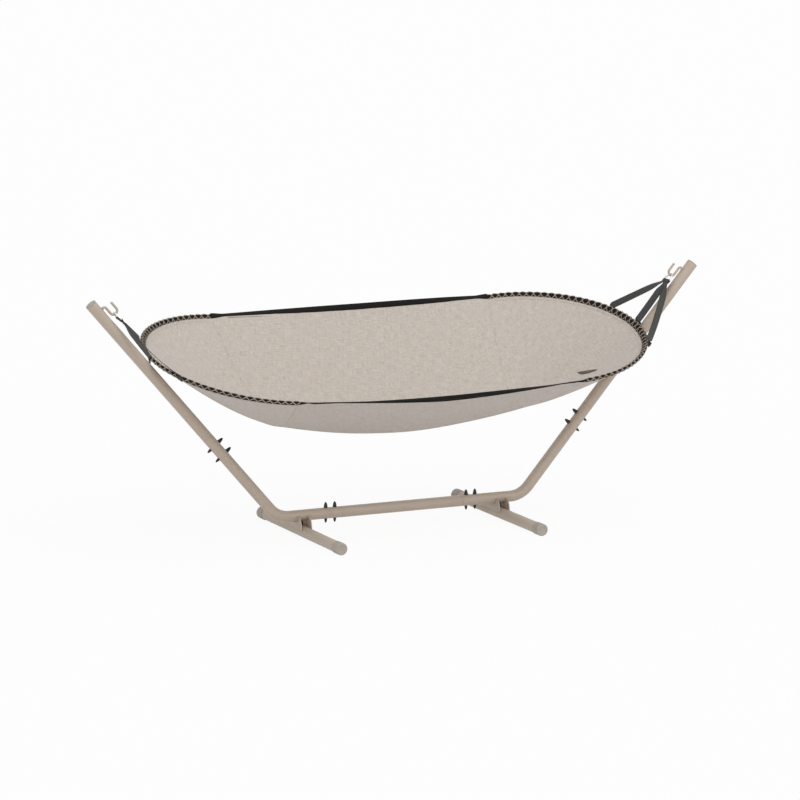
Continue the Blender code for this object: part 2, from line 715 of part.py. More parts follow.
def build_suspension(label, side, chrome, webbing, parent):
    add_rod("ring_" + label, ring_points(side), RING_WIRE_R, 1, chrome, parent, cyclic=True)
    for strap, angle, bar_y in STRAPS:
        bm = bmesh.new()
        loft(bm, strap_rings(side, angle, bar_y), closed=False)
        name = "strap_" + strap + "_" + label
        add_object(name, finish_mesh(bm, name), webbing, parent)


def add_empty(name, location):
    empty = bpy.data.objects.new(name, None)
    empty.location = location
    bpy.context.collection.objects.link(empty)
    return empty


def main():
    for obj in list(bpy.data.objects):
        bpy.data.objects.remove(obj, do_unlink=True)

    coat = make_material("taupe_powder_coat", (0.37, 0.32, 0.26), 0.45)
    plastic = make_material("black_plastic", (0.01, 0.01, 0.01), 0.45)
    plug_plastic = make_material("taupe_plastic", (0.40, 0.36, 0.31), 0.55)
    steel = make_material("zinc_plated_steel", (0.55, 0.55, 0.53), 0.35, 1.0)
    chrome = make_material("polished_steel", (0.75, 0.75, 0.75), 0.12, 1.0)
    charcoal = make_material("charcoal_webbing", (0.07, 0.07, 0.068), 0.85)
    black = make_material("black_webbing", (0.015, 0.015, 0.014), 0.9)
    cord = make_material("beige_cord", (0.32, 0.25, 0.19), 0.85)
    cloth = make_material("beige_melange_cloth", (0.56, 0.50, 0.44), 0.9)

    stand = add_empty("stand_plane", (0, STAND_Y, 0))
    swing = add_empty("swing_axis", (0, STAND_Y, hook_seat(1).z))

    build_centre_tube(coat, stand)
    build_splice_fasteners(plastic, stand)
    for label, side in SIDES:
        build_corner_tube(label, side, coat, stand)
        build_arm(label, side, coat, plug_plastic, stand)
        add_rod("hook_" + label, hook_points(side), HOOK_R, 2, coat, stand)
        build_foot_tube(label, side, coat, stand)
        build_foot_fasteners(label, side, steel, plastic, stand)
        for end_label, end in (("front", -1), ("back", 1)):
            build_foot_cap(label, side, end_label, end, plug_plastic, stand)
        for plate_label, way in (("inner", -1), ("outer", 1)):
            plate_x = side * FOOT_X + side * way * (PLATE_INNER + PLATE_THICKNESS / 2)
            build_bracket_plate("bracket_plate_" + label + "_" + plate_label, plate_x, coat, stand)
        build_bow(label, side, steel, black, swing)
        build_lacing(label, side, cord, swing)
        build_end_panel(label, side, cloth, swing)
        build_suspension(label, side, chrome, charcoal, swing)
    build_centre_panel(cloth, swing)
    for name, end in (("side_webbing_front", -1), ("side_webbing_back", 1)):
        build_side_webbing(name, end, black, swing)


main()
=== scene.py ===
"""Looks of a freestanding hammock: a bolted tube stand, and a cloth bed laced to two end bows.

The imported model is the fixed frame. Every piece here is drawn in the stand's own coordinates, in
which the stand's plane is y = 0, and is shifted into the frame when it is delivered.
"""

import logging
import math
from contextlib import contextmanager
from dataclasses import dataclass, field
from enum import Enum
from typing import Any, Callable, Iterator, Sequence

import bmesh
import bpy
from mathutils import Euler, Matrix, Vector, noise


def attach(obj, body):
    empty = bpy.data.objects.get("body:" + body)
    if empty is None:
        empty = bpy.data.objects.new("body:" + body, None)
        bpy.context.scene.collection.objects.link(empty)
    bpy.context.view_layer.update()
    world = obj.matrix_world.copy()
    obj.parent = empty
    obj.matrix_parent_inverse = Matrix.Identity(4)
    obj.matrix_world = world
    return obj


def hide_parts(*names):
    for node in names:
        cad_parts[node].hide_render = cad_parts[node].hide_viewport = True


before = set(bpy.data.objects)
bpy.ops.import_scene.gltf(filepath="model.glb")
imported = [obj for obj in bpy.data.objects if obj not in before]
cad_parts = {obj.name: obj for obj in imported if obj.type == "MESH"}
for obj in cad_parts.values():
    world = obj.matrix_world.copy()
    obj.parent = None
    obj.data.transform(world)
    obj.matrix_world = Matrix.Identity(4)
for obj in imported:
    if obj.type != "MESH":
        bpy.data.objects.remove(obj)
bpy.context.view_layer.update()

logging.basicConfig(level=logging.INFO, format="%(message)s")
log = logging.getLogger("hammock")

Piece = bpy.types.Object
Material = bpy.types.Material
Socket = bpy.types.NodeSocket
Pair = tuple[float, float]
Laid = tuple[Vector, Pair]
Colour = tuple[float, float, float]
X_AXIS = Vector((1, 0, 0))
Y_AXIS = Vector((0, 1, 0))
Z_AXIS = Vector((0, 0, 1))
ORIGIN = Vector((0, 0, 0))
MERGE = 5e-6
NEAR = 1e-4
FLAT_MAP = "flat"
WHITE = (1, 1, 1, 1)


def smooth_step(share: float) -> float:
    """0 below 0, 1 above 1, and smooth between them."""
    share = min(max(share, 0.0), 1.0)
    return share * share * (3 - 2 * share)


def signed_power(value: float, power: float) -> float:
    """A power of a number's size, with the number's sign."""
    return math.copysign(abs(value) ** power, value)


def facing(line: Vector, towards: Vector) -> Vector:
    """The direction of a line, turned to the side that another direction points to."""
    return -line if line.dot(towards) < 0 else line


def turn_to(axis: Vector, first: Vector) -> Euler:
    """The rotation that takes Z to an axis, and X to a direction square to it."""
    return Matrix((first, axis.cross(first), axis)).transposed().to_euler()


def lengths_along(points: Sequence[Vector]) -> list[float]:
    """How far along a line each of its points is."""
    lengths = [0.0]
    for near, far in zip(points, points[1:]):
        lengths.append(lengths[-1] + (far - near).length)
    return lengths


class Labelled(Enum):
    """A choice whose members have a word for the names of pieces."""

    @property
    def label(self) -> str:
        """The word used in names."""
        return self.name.lower()


class Side(Labelled):
    """The two ends of the hammock, with the sign of their X."""

    LEFT = -1
    RIGHT = 1


class End(Labelled):
    """The front and back of a foot or of the bed, with the sign of their Y."""

    FRONT = -1
    BACK = 1


class Body(Enum):
    """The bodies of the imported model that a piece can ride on."""

    STAND = "stand"
    HAMMOCK = "hammock"


class Signal:
    """A number that varies over a surface. Arithmetic on it adds Math nodes to its graph."""

    def __init__(self, graph: "Graph", socket: Socket) -> None:
        """Wraps one output socket.

        Args:
            graph: the graph that the socket is in.
            socket: the output that carries the number.
        """
        self.graph = graph
        self.socket = socket

    def __add__(self, other: Any) -> "Signal":
        """self + other."""
        return self.graph.math("ADD", self, other)

    __radd__ = __add__

    def __sub__(self, other: Any) -> "Signal":
        """self - other."""
        return self.graph.math("SUBTRACT", self, other)

    def __rsub__(self, other: Any) -> "Signal":
        """other - self."""
        return self.graph.math("SUBTRACT", other, self)

    def __mul__(self, other: Any) -> "Signal":
        """self * other."""
        return self.graph.math("MULTIPLY", self, other)

    __rmul__ = __mul__

    def size(self) -> "Signal":
        """Its value without its sign."""
        return self.graph.math("ABSOLUTE", self)

    def wave(self, length: float) -> "Signal":
        """A sine wave along it, from -1 to 1, of the given wavelength."""
        return self.graph.math("SINE", self * (2 * math.pi / length))

    def remainder(self, period: float) -> "Signal":
        """What is left after whole periods, never negative."""
        return self.graph.math("FLOORED_MODULO", self, period)

    def between(self, low: float, high: float) -> "Signal":
        """A smooth step.

        Args:
            low: the value at which the step is 0.
            high: the value at which the step is 1.

        Returns:
            The step, from 0 to 1.
        """
        if low > high:
            return 1 - self.between(high, low)
        node = self.graph.node(
            "ShaderNodeMapRange",
            {"interpolation_type": "SMOOTHSTEP"},
            {"Value": self, "From Min": low, "From Max": high},
        )
        return Signal(self.graph, node.outputs["Result"])


def add_node(
    tree: bpy.types.NodeTree,
    kind: str,
    settings: dict[str, Any] | None = None,
    inputs: dict[str | int, Any] | None = None,
) -> bpy.types.Node:
    """Adds a node to a tree.

    Args:
        tree: the material's or world's nodes.
        kind: the node's type.
        settings: its properties, set before its sockets.
        inputs: values, signals or sockets for its inputs, by name or number.

    Returns:
        The node.
    """
    made = tree.nodes.new(kind)
    for name, value in (settings or {}).items():
        setattr(made, name, value)
    for key, value in (inputs or {}).items():
        if isinstance(value, Signal):
            value = value.socket
        if isinstance(value, Socket):
            tree.links.new(value, made.inputs[key])
        else:
            made.inputs[key].default_value = value
    return made


class Graph:
    """The node graph of one Principled material."""

    def __init__(self, name: str, colour: Colour, roughness: float, metallic: float = 0.0) -> None:
        """Makes the material with its plain values.

        Args:
            name: the material's name.
            colour: the base colour, linear.
            roughness: the base roughness.
            metallic: 1 for a metal.
        """
        self.material = bpy.data.materials.new(name)
        self.material.use_nodes = True
        self.tree = self.material.node_tree
        self.shader = self.tree.nodes["Principled BSDF"]
        self.shader.inputs["Base Color"].default_value = (*colour, 1.0)
        self.shader.inputs["Roughness"].default_value = roughness
        self.shader.inputs["Metallic"].default_value = metallic
        self.material.diffuse_color = (*colour, 1.0)

    def node(
        self,
        kind: str,
        settings: dict[str, Any] | None = None,
        inputs: dict[str | int, Any] | None = None,
    ) -> bpy.types.Node:
        """Adds a node to the material, as add_node does."""
        return add_node(self.tree, kind, settings, inputs)

    def math(self, operation: str, *values: Any) -> Signal:
        """A Math node on signals or numbers."""
        made = self.node("ShaderNodeMath", {"operation": operation}, dict(enumerate(values)))
        return Signal(self, made.outputs[0])

    def place(self) -> Socket:
        """Object coordinates, which are the frame's own metres."""
        return self.node("ShaderNodeTexCoord").outputs["Object"]

    def flat(self) -> tuple[Signal, Signal]:
        """The piece's own flat coordinates in metres: across or along it, as its mesh says."""
        source = self.node("ShaderNodeUVMap", {"uv_map": FLAT_MAP})
        parts = self.node("ShaderNodeSeparateXYZ", None, {"Vector": source.outputs["UV"]})
        return Signal(self, parts.outputs["X"]), Signal(self, parts.outputs["Y"])

    def point(self, across: Any, along: Any, up: Any = 0.0) -> Socket:
        """A vector from three numbers or signals."""
        parts = {"X": across, "Y": along, "Z": up}
        return self.node("ShaderNodeCombineXYZ", None, parts).outputs[0]

    def noise(self, where: Socket, scale: float, detail: float = 2.0) -> Signal:
        """Soft noise.

        Args:
            where: the vector that it reads.
            scale: how many features to a metre.
            detail: its finer layers.

        Returns:
            The noise, about 0.5 in the middle.
        """
        made = self.node(
            "ShaderNodeTexNoise", None, {"Vector": where, "Scale": scale, "Detail": detail}
        )
        return Signal(self, made.outputs["Fac"])

    def tint(self, factor: Any, first: Any, second: Any) -> Socket:
        """Mixes two colours.

        Args:
            factor: 0 for the first, 1 for the second.
            first: a linear colour or a socket.
            second: a linear colour or a socket.

        Returns:
            The mixed colour's socket.
        """
        colours = [(*c, 1.0) if isinstance(c, tuple) else c for c in (first, second)]
        made = self.node(
            "ShaderNodeMix", {"data_type": "RGBA"}, {0: factor, 6: colours[0], 7: colours[1]}
        )
        return made.outputs[2]

    def shades(self, factor: Any, colour: Colour, first: float, second: float) -> Socket:
        """Mixes two shades of one colour.

        Args:
            factor: 0 for the first, 1 for the second.
            colour: the linear colour.
            first: how bright the first shade is, against the colour.
            second: how bright the second one is.

        Returns:
            The mixed colour's socket.
        """
        return self.tint(factor, shade(colour, first), shade(colour, second))

    def feed(self, name: str, value: Any) -> None:
        """Links a signal or socket to an input of the shader."""
        socket = value.socket if isinstance(value, Signal) else value
        self.tree.links.new(socket, self.shader.inputs[name])

    def relief(self, height: Signal, depth: float, strength: float = 1.0) -> None:
        """Bumps the surface.

        Args:
            height: the relief, from 0 to 1.
            depth: how deep it is, in metres.
            strength: how much of it shows.
        """
        made = self.node(
            "ShaderNodeBump", None, {"Height": height, "Distance": depth, "Strength": strength}
        )
        self.feed("Normal", made.outputs["Normal"])


def shade(colour: Colour, factor: float) -> Colour:
    """The same hue, darker or lighter."""
    return (colour[0] * factor, colour[1] * factor, colour[2] * factor)


@dataclass(frozen=True)
class PowderCoat:
    """Satin powder coat on steel tube, with a fine orange peel."""

    colour: Colour = (0.510, 0.425, 0.345)
    roughness: float = 0.44
    cloud_scale: float = 9.0
    peel_scale: float = 620.0
    shades: Pair = (0.95, 1.05)
    depth: float = 0.00006

    def build(self) -> Material:
        """Makes the material."""
        graph = Graph("satin_taupe_coat", self.colour, self.roughness)
        where = graph.place()
        cloud = graph.noise(where, self.cloud_scale, 3.0)
        peel = graph.noise(where, self.peel_scale, 1.0)
        graph.feed("Base Color", graph.shades(cloud, self.colour, *self.shades))
        graph.feed("Roughness", cloud * 0.10 + peel * 0.08 + (self.roughness - 0.09))
        graph.relief(peel, self.depth, 0.5)
        return graph.material


@dataclass(frozen=True)
class MouldedPlastic:
    """Plastic with the fine even grain of a mould."""

    name: str
    colour: Colour
    roughness: float
    grain_scale: float = 1500.0
    cloud_scale: float = 40.0
    shades: Pair = (0.94, 1.06)
    depth: float = 0.00005

    def build(self) -> Material:
        """Makes the material."""
        graph = Graph(self.name, self.colour, self.roughness)
        where = graph.place()
        grain = graph.noise(where, self.grain_scale, 2.0)
        cloud = graph.noise(where, self.cloud_scale, 2.0)
        graph.feed("Base Color", graph.shades(cloud, self.colour, *self.shades))
        graph.feed("Roughness", grain * 0.14 + (self.roughness - 0.07))
        graph.relief(grain, self.depth, 0.6)
        return graph.material


@dataclass(frozen=True)
class BareSteel:
    """Steel that is polished or zinc plated, with faint drawing lines."""

    name: str
    colour: Colour
    roughness: float
    cloud_scale: float = 120.0
    fine_scale: float = 2400.0
    shades: Pair = (0.9, 1.0)
    depth: float = 0.00002

    def build(self) -> Material:
        """Makes the material."""
        graph = Graph(self.name, self.colour, self.roughness, metallic=1.0)
        where = graph.place()
        cloud = graph.noise(where, self.cloud_scale, 3.0)
        fine = graph.noise(where, self.fine_scale, 1.0)
        graph.feed("Base Color", graph.shades(cloud, self.colour, *self.shades))
        graph.feed("Roughness", cloud * 0.10 + fine * 0.06 + (self.roughness - 0.08))
        graph.relief(fine, self.depth, 0.4)
        return graph.material


@dataclass(frozen=True)
class RibbedWebbing:
    """Flat webbing, ribbed across, with a raised band along each edge that painted shade darkens.
    The flat map is (across, along).
    """

    name: str
    slot: str
    colour: Colour
    rib: float = 0.0026
    warp: float = 0.0013
    # width scale of the edge bands that painted shade darkens
    edge: float = 0.0016
    fuzz_scale: float = 900.0
    shades: Pair = (0.62, 1.3)
    depth: float = 0.0004

    def build(self, half_width: float) -> Material:
        """Makes the material.

        Args:
            half_width: half the webbing's width, where its edge bands are raised and darkened by
                painted shade.

        Returns:
            The material.
        """
        graph = Graph(f"{self.name}_{round(half_width * 2000)}mm", self.colour, 0.82)
        across, along = graph.flat()
        ribs = along.wave(self.rib) * 0.5 + 0.5
        warp = across.wave(self.warp) * 0.5 + 0.5
        # the edge bands: painted shade darkens their colour, and the relief raises them
        shaded_raised_edge = across.size().between(half_width - 1.6 * self.edge, half_width - 0.8 * self.edge)
        fuzz = graph.noise(graph.point(across, along), self.fuzz_scale, 3.0)
        face = graph.shades(ribs * 0.6 + fuzz * 0.4, self.colour, *self.shades)
        # painted shade: the edge bands are darkened to 0.55 of the colour
        graph.feed("Base Color", graph.tint(shaded_raised_edge, face, shade(self.colour, 0.55)))
        graph.feed("Roughness", fuzz * 0.16 + 0.74)
        graph.relief((ribs * 0.75 + warp * 0.25) * (1 - shaded_raised_edge) + shaded_raised_edge * 0.8, self.depth)
        graph.shader.inputs["Specular IOR Level"].default_value = 0.25
        graph.shader.inputs["Sheen Weight"].default_value = 0.06
        return graph.material


@dataclass(frozen=True)
class SleeveCloth:
    """Tight black cotton of the edge sleeves and the folded side bands."""

    colour: Colour = (0.0095, 0.0085, 0.0075)
    thread: float = 0.0011
    fuzz_scale: float = 700.0
    shades: Pair = (0.55, 1.7)
    depth: float = 0.0002

    def build(self) -> Material:
        """Makes the material."""
        graph = Graph("black_edge_cloth", self.colour, 0.8)
        across, along = graph.flat()
        weave = across.wave(self.thread) * along.wave(self.thread) * 0.5 + 0.5
        fuzz = graph.noise(graph.point(across, along), self.fuzz_scale, 3.0)
        graph.feed("Base Color", graph.shades(weave * 0.5 + fuzz * 0.5, self.colour, *self.shades))
        graph.feed("Roughness", fuzz * 0.2 + 0.70)
        graph.relief(weave, self.depth)
        graph.shader.inputs["Specular IOR Level"].default_value = 0.15
        return graph.material


@dataclass(frozen=True)
class BraidedCord:
    """Flat braid of the lacing, with painted shade in cloudy dark brown patches. The flat map is
    (along, around).
    """

    colour: Colour = (0.43, 0.36, 0.285)
    # the deep brown towards which the painted shade patches are mixed
    cloud_tint: Colour = (0.25, 0.19, 0.13)
    strand: float = 0.0024
    cloud_scale: float = 60.0
    shades: Pair = (0.66, 1.14)
    depth: float = 0.0003

    def build(self) -> Material:
        """Makes the material."""
        graph = Graph("beige_flat_braid", self.colour, 0.85)
        along, around = graph.flat()
        first, second = (along + around).wave(self.strand), (along - around).wave(self.strand)
        braid = first * second * 0.5 + 0.5
        cloud = graph.noise(graph.point(along, around), self.cloud_scale, 2.0)
        face = graph.shades(braid, self.colour, *self.shades)
        # painted shade: cloudy patches darkened by up to 0.35 towards deep brown
        graph.feed("Base Color", graph.tint(cloud.between(0.35, 0.7) * 0.35, face, self.cloud_tint))
        graph.feed("Roughness", braid * 0.1 + 0.78)
        graph.relief(braid, self.depth)
        graph.shader.inputs["Sheen Weight"].default_value = 0.2
        return graph.material


@dataclass(frozen=True)
class MelangeCloth:
    """The bed's beige woven cloth, speckled by threads that differ in shade. The flat map lies
    along the bed and across it, in metres."""

    colour: Colour = (0.572, 0.512, 0.456)
    cloud_tint: Colour = (0.60, 0.54, 0.50)
    thread: float = 0.0016
    stretch: float = 0.09
    slub_scale: float = 260.0
    yarn_scale: float = 420.0
    cloud_scale: float = 5.0
    speckle: Pair = (0.30, 0.70)
    shades: Pair = (0.70, 1.30)
    depth: float = 0.00035

    def build(self) -> Material:
        """Makes the material."""
        graph = Graph("beige_melange_weave", self.colour, 0.86)
        across, along = graph.flat()
        warp = graph.noise(graph.point(across * self.stretch, along), self.slub_scale, 3.0)
        weft = graph.noise(graph.point(across, along * self.stretch, 3.0), self.slub_scale, 3.0)
        yarn = graph.noise(graph.point(across, along, 5.0), self.yarn_scale, 2.0)
        cloud = graph.noise(graph.point(across, along, 7.0), self.cloud_scale, 2.0)
        slubs = warp.between(*self.speckle) * 0.36 + weft.between(*self.speckle) * 0.36
        speckle = slubs + yarn.between(*self.speckle) * 0.28
        face = graph.shades(speckle, self.colour, *self.shades)
        graph.feed("Base Color", graph.tint(cloud.between(0.35, 0.65) * 0.12, face, self.cloud_tint))
        weave = across.wave(self.thread) * along.wave(self.thread) * 0.5 + 0.5
        graph.feed("Roughness", speckle * 0.1 + 0.80)
        graph.relief(weave * 0.5 + speckle * 0.5, self.depth, 0.8)
        graph.shader.inputs["Sheen Weight"].default_value = 0.15
        graph.shader.inputs["Sheen Roughness"].default_value = 0.6
        return graph.material


@dataclass(frozen=True)
class SewnTape:
    """The cloth where it lies double in a seam or hem, with two rows of stitches. The flat map is
    (across from the middle, along)."""

    colour: Colour = (0.572, 0.512, 0.456)
    row: float = 0.0036
    stitch: float = 0.0042
    thread: float = 0.0007
    pucker: float = 0.0016
    slub_scale: float = 300.0
    shades: Pair = (0.80, 1.18)
    depth: float = 0.0006

    def build(self) -> Material:
        """Makes the material."""
        graph = Graph("beige_sewn_double_cloth", self.colour, 0.86)
        across, along = graph.flat()
        slub = graph.noise(graph.point(across, along * 0.12), self.slub_scale, 3.0)
        slub = slub.between(0.32, 0.68)
        off_row = (across.size() - self.row).size()
        rows = off_row.between(self.thread, 0.4 * self.thread)
        dash = (along.remainder(self.stitch) - 0.5 * self.stitch).size()
        stitches = rows * dash.between(0.42 * self.stitch, 0.36 * self.stitch)
        face = graph.shades(slub, self.colour, *self.shades)
        graph.feed("Base Color", graph.tint(stitches, face, shade(self.colour, 0.82)))
        graph.feed("Roughness", slub * 0.1 + 0.80)
        pucker = off_row.between(0.0, self.pucker)
        graph.relief(pucker * 0.7 + stitches * 0.5 + slub * 0.15, self.depth)
        graph.shader.inputs["Sheen Weight"].default_value = 0.1
        return graph.material


@dataclass(frozen=True)
class Leather:
    """Brown leather of the bare patch."""

    colour: Colour = (0.115, 0.075, 0.052)
    pore_scale: float = 700.0
    cloud_scale: float = 90.0
    shades: Pair = (0.7, 1.35)
    depth: float = 0.0003

    def build(self) -> Material:
        """Makes the material."""
        graph = Graph("brown_leather", self.colour, 0.55)
        across, along = graph.flat()
        where = graph.point(across, along)
        pores = graph.node(
            "ShaderNodeTexVoronoi",
            {"feature": "DISTANCE_TO_EDGE"},
            {"Vector": where, "Scale": self.pore_scale},
        )
        grain = Signal(graph, pores.outputs["Distance"]).between(0.0, 0.25)
        cloud = graph.noise(where, self.cloud_scale, 3.0)
        graph.feed("Base Color", graph.shades(cloud, self.colour, *self.shades))
        graph.feed("Roughness", grain * -0.12 + 0.62)
        graph.relief(grain, self.depth)
        return graph.material


@dataclass(frozen=True)
class Run:
    """A straight length of tube or rod."""

    way: Vector


@dataclass(frozen=True)
class Turn:
    """A bent length of tube or rod, turning by the right hand about an axis."""

    centre: Vector
    axis: Vector
    angle: float
    steps: int


class Bench:
    """Blender's modelling tools, used as by hand on one piece at a time."""

    @staticmethod
    def focus(piece: Piece) -> None:
        """Deselects everything, then selects one piece and makes it active."""
        bpy.ops.object.select_all(action="DESELECT")
        piece.select_set(True)
        bpy.context.view_layer.objects.active = piece

    @staticmethod
    @contextmanager
    def editing(piece: Piece) -> Iterator[None]:
        """Edit mode on one piece, in vertex select mode, for the length of a with block."""
        Bench.focus(piece)
        bpy.ops.object.mode_set(mode="EDIT")
        bpy.ops.mesh.select_mode(type="VERT")
        yield
        bpy.ops.object.mode_set(mode="OBJECT")

    @staticmethod
    def start(name: str, primitive: Callable[..., Any], **settings: Any) -> Piece:
        """Adds a primitive and applies its place, so that its object is at the origin.

        Args:
            name: the piece's name.
            primitive: the operator that adds it.
            settings: its size, place and the like.

        Returns:
            The new object.
        """
        bpy.ops.object.select_all(action="DESELECT")
        primitive(**settings)
        piece = bpy.context.object
        piece.name = piece.data.name = name
        Bench.focus(piece)
        bpy.ops.object.transform_apply(location=True, rotation=True, scale=True)
        return piece

    @staticmethod
    def pick(piece: Piece, test: Callable[[Vector], bool]) -> None:
        """Selects, in edit mode, the vertices whose place passes a test."""
        bpy.ops.mesh.select_all(action="DESELECT")
        shape = bmesh.from_edit_mesh(piece.data)
        for vert in shape.verts:
            vert.select_set(test(vert.co))
        shape.select_flush(True)
        bmesh.update_edit_mesh(piece.data)

    @staticmethod
    def loop(
        name: str, centre: Vector, axis: Vector, radius: float, sides: int, first: Vector
    ) -> Piece:
        """A bare circle, the start of a tube or rod.

        Args:
            name: the piece's name.
            centre: its centre.
            axis: the direction in which the piece will grow.
            radius: its radius.
            sides: its vertices.
            first: the direction of its first vertex.

        Returns:
            The new object.
        """
        size = {"vertices": sides, "radius": radius}
        place = {"location": centre, "rotation": turn_to(axis, first)}
        return Bench.start(name, bpy.ops.mesh.primitive_circle_add, **size, **place)

    @staticmethod
    def merge() -> None:
        """Merges doubles and points the faces outwards, in edit mode."""
        bpy.ops.mesh.select_all(action="SELECT")
        bpy.ops.mesh.remove_doubles(threshold=MERGE)
        bpy.ops.mesh.normals_make_consistent(inside=False)

    @staticmethod
    def grow(way: Vector, centre: Vector = ORIGIN, factor: float = 1.0) -> None:
        """Extrudes the selected loop, then resizes it about its new centre."""
        bpy.ops.mesh.extrude_region_move(TRANSFORM_OT_translate={"value": way})
        if factor != 1.0:
            bpy.ops.transform.resize(value=(factor,) * 3, center_override=centre)

    @classmethod
    def turned(
        cls,
        name: str,
        base: Vector,
        axis: Vector,
        profile: Sequence[Pair],
        sides: int = 48,
        hollow: bool = False,
    ) -> Piece:
        """A piece turned about an axis, as on a lathe.

        Args:
            name: the piece's name.
            base: the point from which heights are measured.
            axis: the direction of height.
            profile: (height, radius) pairs. A radius of 0 at either end closes to a point.
            sides: how many sides it has.
            hollow: whether the profile's end is joined to its start.

        Returns:
            The new object.
        """
        first = Z_AXIS if abs(axis.y) > 0.9 else Y_AXIS
        body = [(height, radius) for height, radius in profile if radius > 0]
        start_height, start_radius = body[0]
        piece = cls.loop(name, base + axis * start_height, axis, start_radius, sides, first)
        with cls.editing(piece):
            bpy.ops.mesh.select_all(action="SELECT")
            for (height, radius), (next_height, next_radius) in zip(body, body[1:]):
                centre = base + axis * next_height
                cls.grow(axis * (next_height - height), centre, next_radius / radius)
            if hollow:
                bpy.ops.mesh.select_non_manifold(extend=False, use_multi_face=False)
                bpy.ops.mesh.bridge_edge_loops()
            else:
                cls.close_end(base + axis * body[-1][0], axis * (profile[-1][0] - body[-1][0]))
                cls.pick(
                    piece,
                    lambda co: abs((co - base).dot(axis) - start_height) < 1e-5
                    and abs(((co - base) - axis * start_height).length - start_radius) < 1e-5,
                )
                cls.close_end(base + axis * start_height, axis * (profile[0][0] - start_height))
            cls.merge()
        return piece

    @classmethod
    def close_end(cls, centre: Vector, way: Vector) -> None:
        """Closes the selected loop at a point, which may stand out from its plane."""
        cls.grow(way)
        bpy.ops.transform.resize(value=(0, 0, 0), center_override=centre + way)

    @classmethod
    def swept(
        cls,
        name: str,
        start: Vector,
        axis: Vector,
        radius: float,
        route: Sequence[Run | Turn],
        sides: int = 48,
        first: Vector = Y_AXIS,
    ) -> Piece:
        """An open tube that follows straight lengths and bends.

        Args:
            name: the piece's name.
            start: the centre of its start.
            axis: the direction in which it starts.
            radius: its outer radius.
            route: its lengths and bends in order.
            sides: how many sides it has.
            first: the direction of its first vertex.

        Returns:
            The new object, with both ends open.
        """
        piece = cls.loop(name, start, axis, radius, sides, first)
        with cls.editing(piece):
            bpy.ops.mesh.select_all(action="SELECT")
            for part in route:
                if isinstance(part, Run):
                    bpy.ops.mesh.extrude_region_move(TRANSFORM_OT_translate={"value": part.way})
                else:
                    bpy.ops.mesh.spin(
                        steps=part.steps, angle=-part.angle, center=part.centre, axis=part.axis
                    )
            cls.merge()
        return piece

    @classmethod
    def round_end(cls, piece: Piece, centre: Vector, axis: Vector, radius: float) -> None:
        """Closes an open end of a rod with a soft dome.

        Args:
            piece: the rod.
            centre: the centre of the open end.
            axis: the direction out of it.
            radius: the rod's radius.
        """
        with cls.editing(piece):
            cls.pick(
                piece,
                lambda co: abs((co - centre).dot(axis)) < NEAR
                and (co - centre).length < 1.5 * radius,
            )
            steps, height = 4, radius * 0.6
            for step in range(1, steps):
                angle = math.pi / 2 * step / steps
                before = math.pi / 2 * (step - 1) / steps
                rise = height * (math.sin(angle) - math.sin(before))
                here = centre + axis * (height * math.sin(angle))
                cls.grow(axis * rise, here, math.cos(angle) / math.cos(before))
            last = centre + axis * (height * math.sin(math.pi / 2 * (steps - 1) / steps))
            cls.close_end(last, axis * (radius * 0.05))
            cls.merge()

    @classmethod
    def modify(cls, piece: Piece, kind: str, **settings: Any) -> None:
        """Adds a modifier with its settings and applies it."""
        cls.focus(piece)
        made = piece.modifiers.new(kind.lower(), kind)
        for name, value in settings.items():
            setattr(made, name, value)
        bpy.ops.object.modifier_apply(modifier=made.name)

    @classmethod
    def wall(cls, piece: Piece, thickness: float, rim: float) -> None:
        """Gives an open tube its wall, on its inner side, and breaks the edges of its rims."""
        cls.modify(piece, "SOLIDIFY", thickness=thickness, offset=-1.0, use_rim=True)
        cls.break_edges(piece, rim, 60)

    @classmethod
    def break_edges(cls, piece: Piece, width: float, sharp: float) -> None:
        """Rounds, by a bevel of two steps, the edges past an angle in degrees."""
        past = {"limit_method": "ANGLE", "angle_limit": math.radians(sharp)}
        cls.modify(piece, "BEVEL", width=width, segments=2, **past)

    @classmethod
    def drill(
        cls, piece: Piece, centre: Vector, axis: Vector, radius: float, length: float
    ) -> None:
        """Cuts a round hole through a piece."""
        across = Y_AXIS if abs(axis.y) < 0.9 else Z_AXIS
        size = {"vertices": 24, "radius": radius, "depth": length}
        place = {"location": centre, "rotation": turn_to(axis, across)}
        cutter = cls.start("drill_bit", bpy.ops.mesh.primitive_cylinder_add, **size, **place)
        cls.modify(piece, "BOOLEAN", operation="DIFFERENCE", solver="EXACT", object=cutter)
        bpy.data.objects.remove(cutter)

    @classmethod
    def join(cls, piece: Piece, other: Piece) -> None:
        """Joins another piece into one."""
        cls.focus(piece)
        other.select_set(True)
        bpy.ops.object.join()

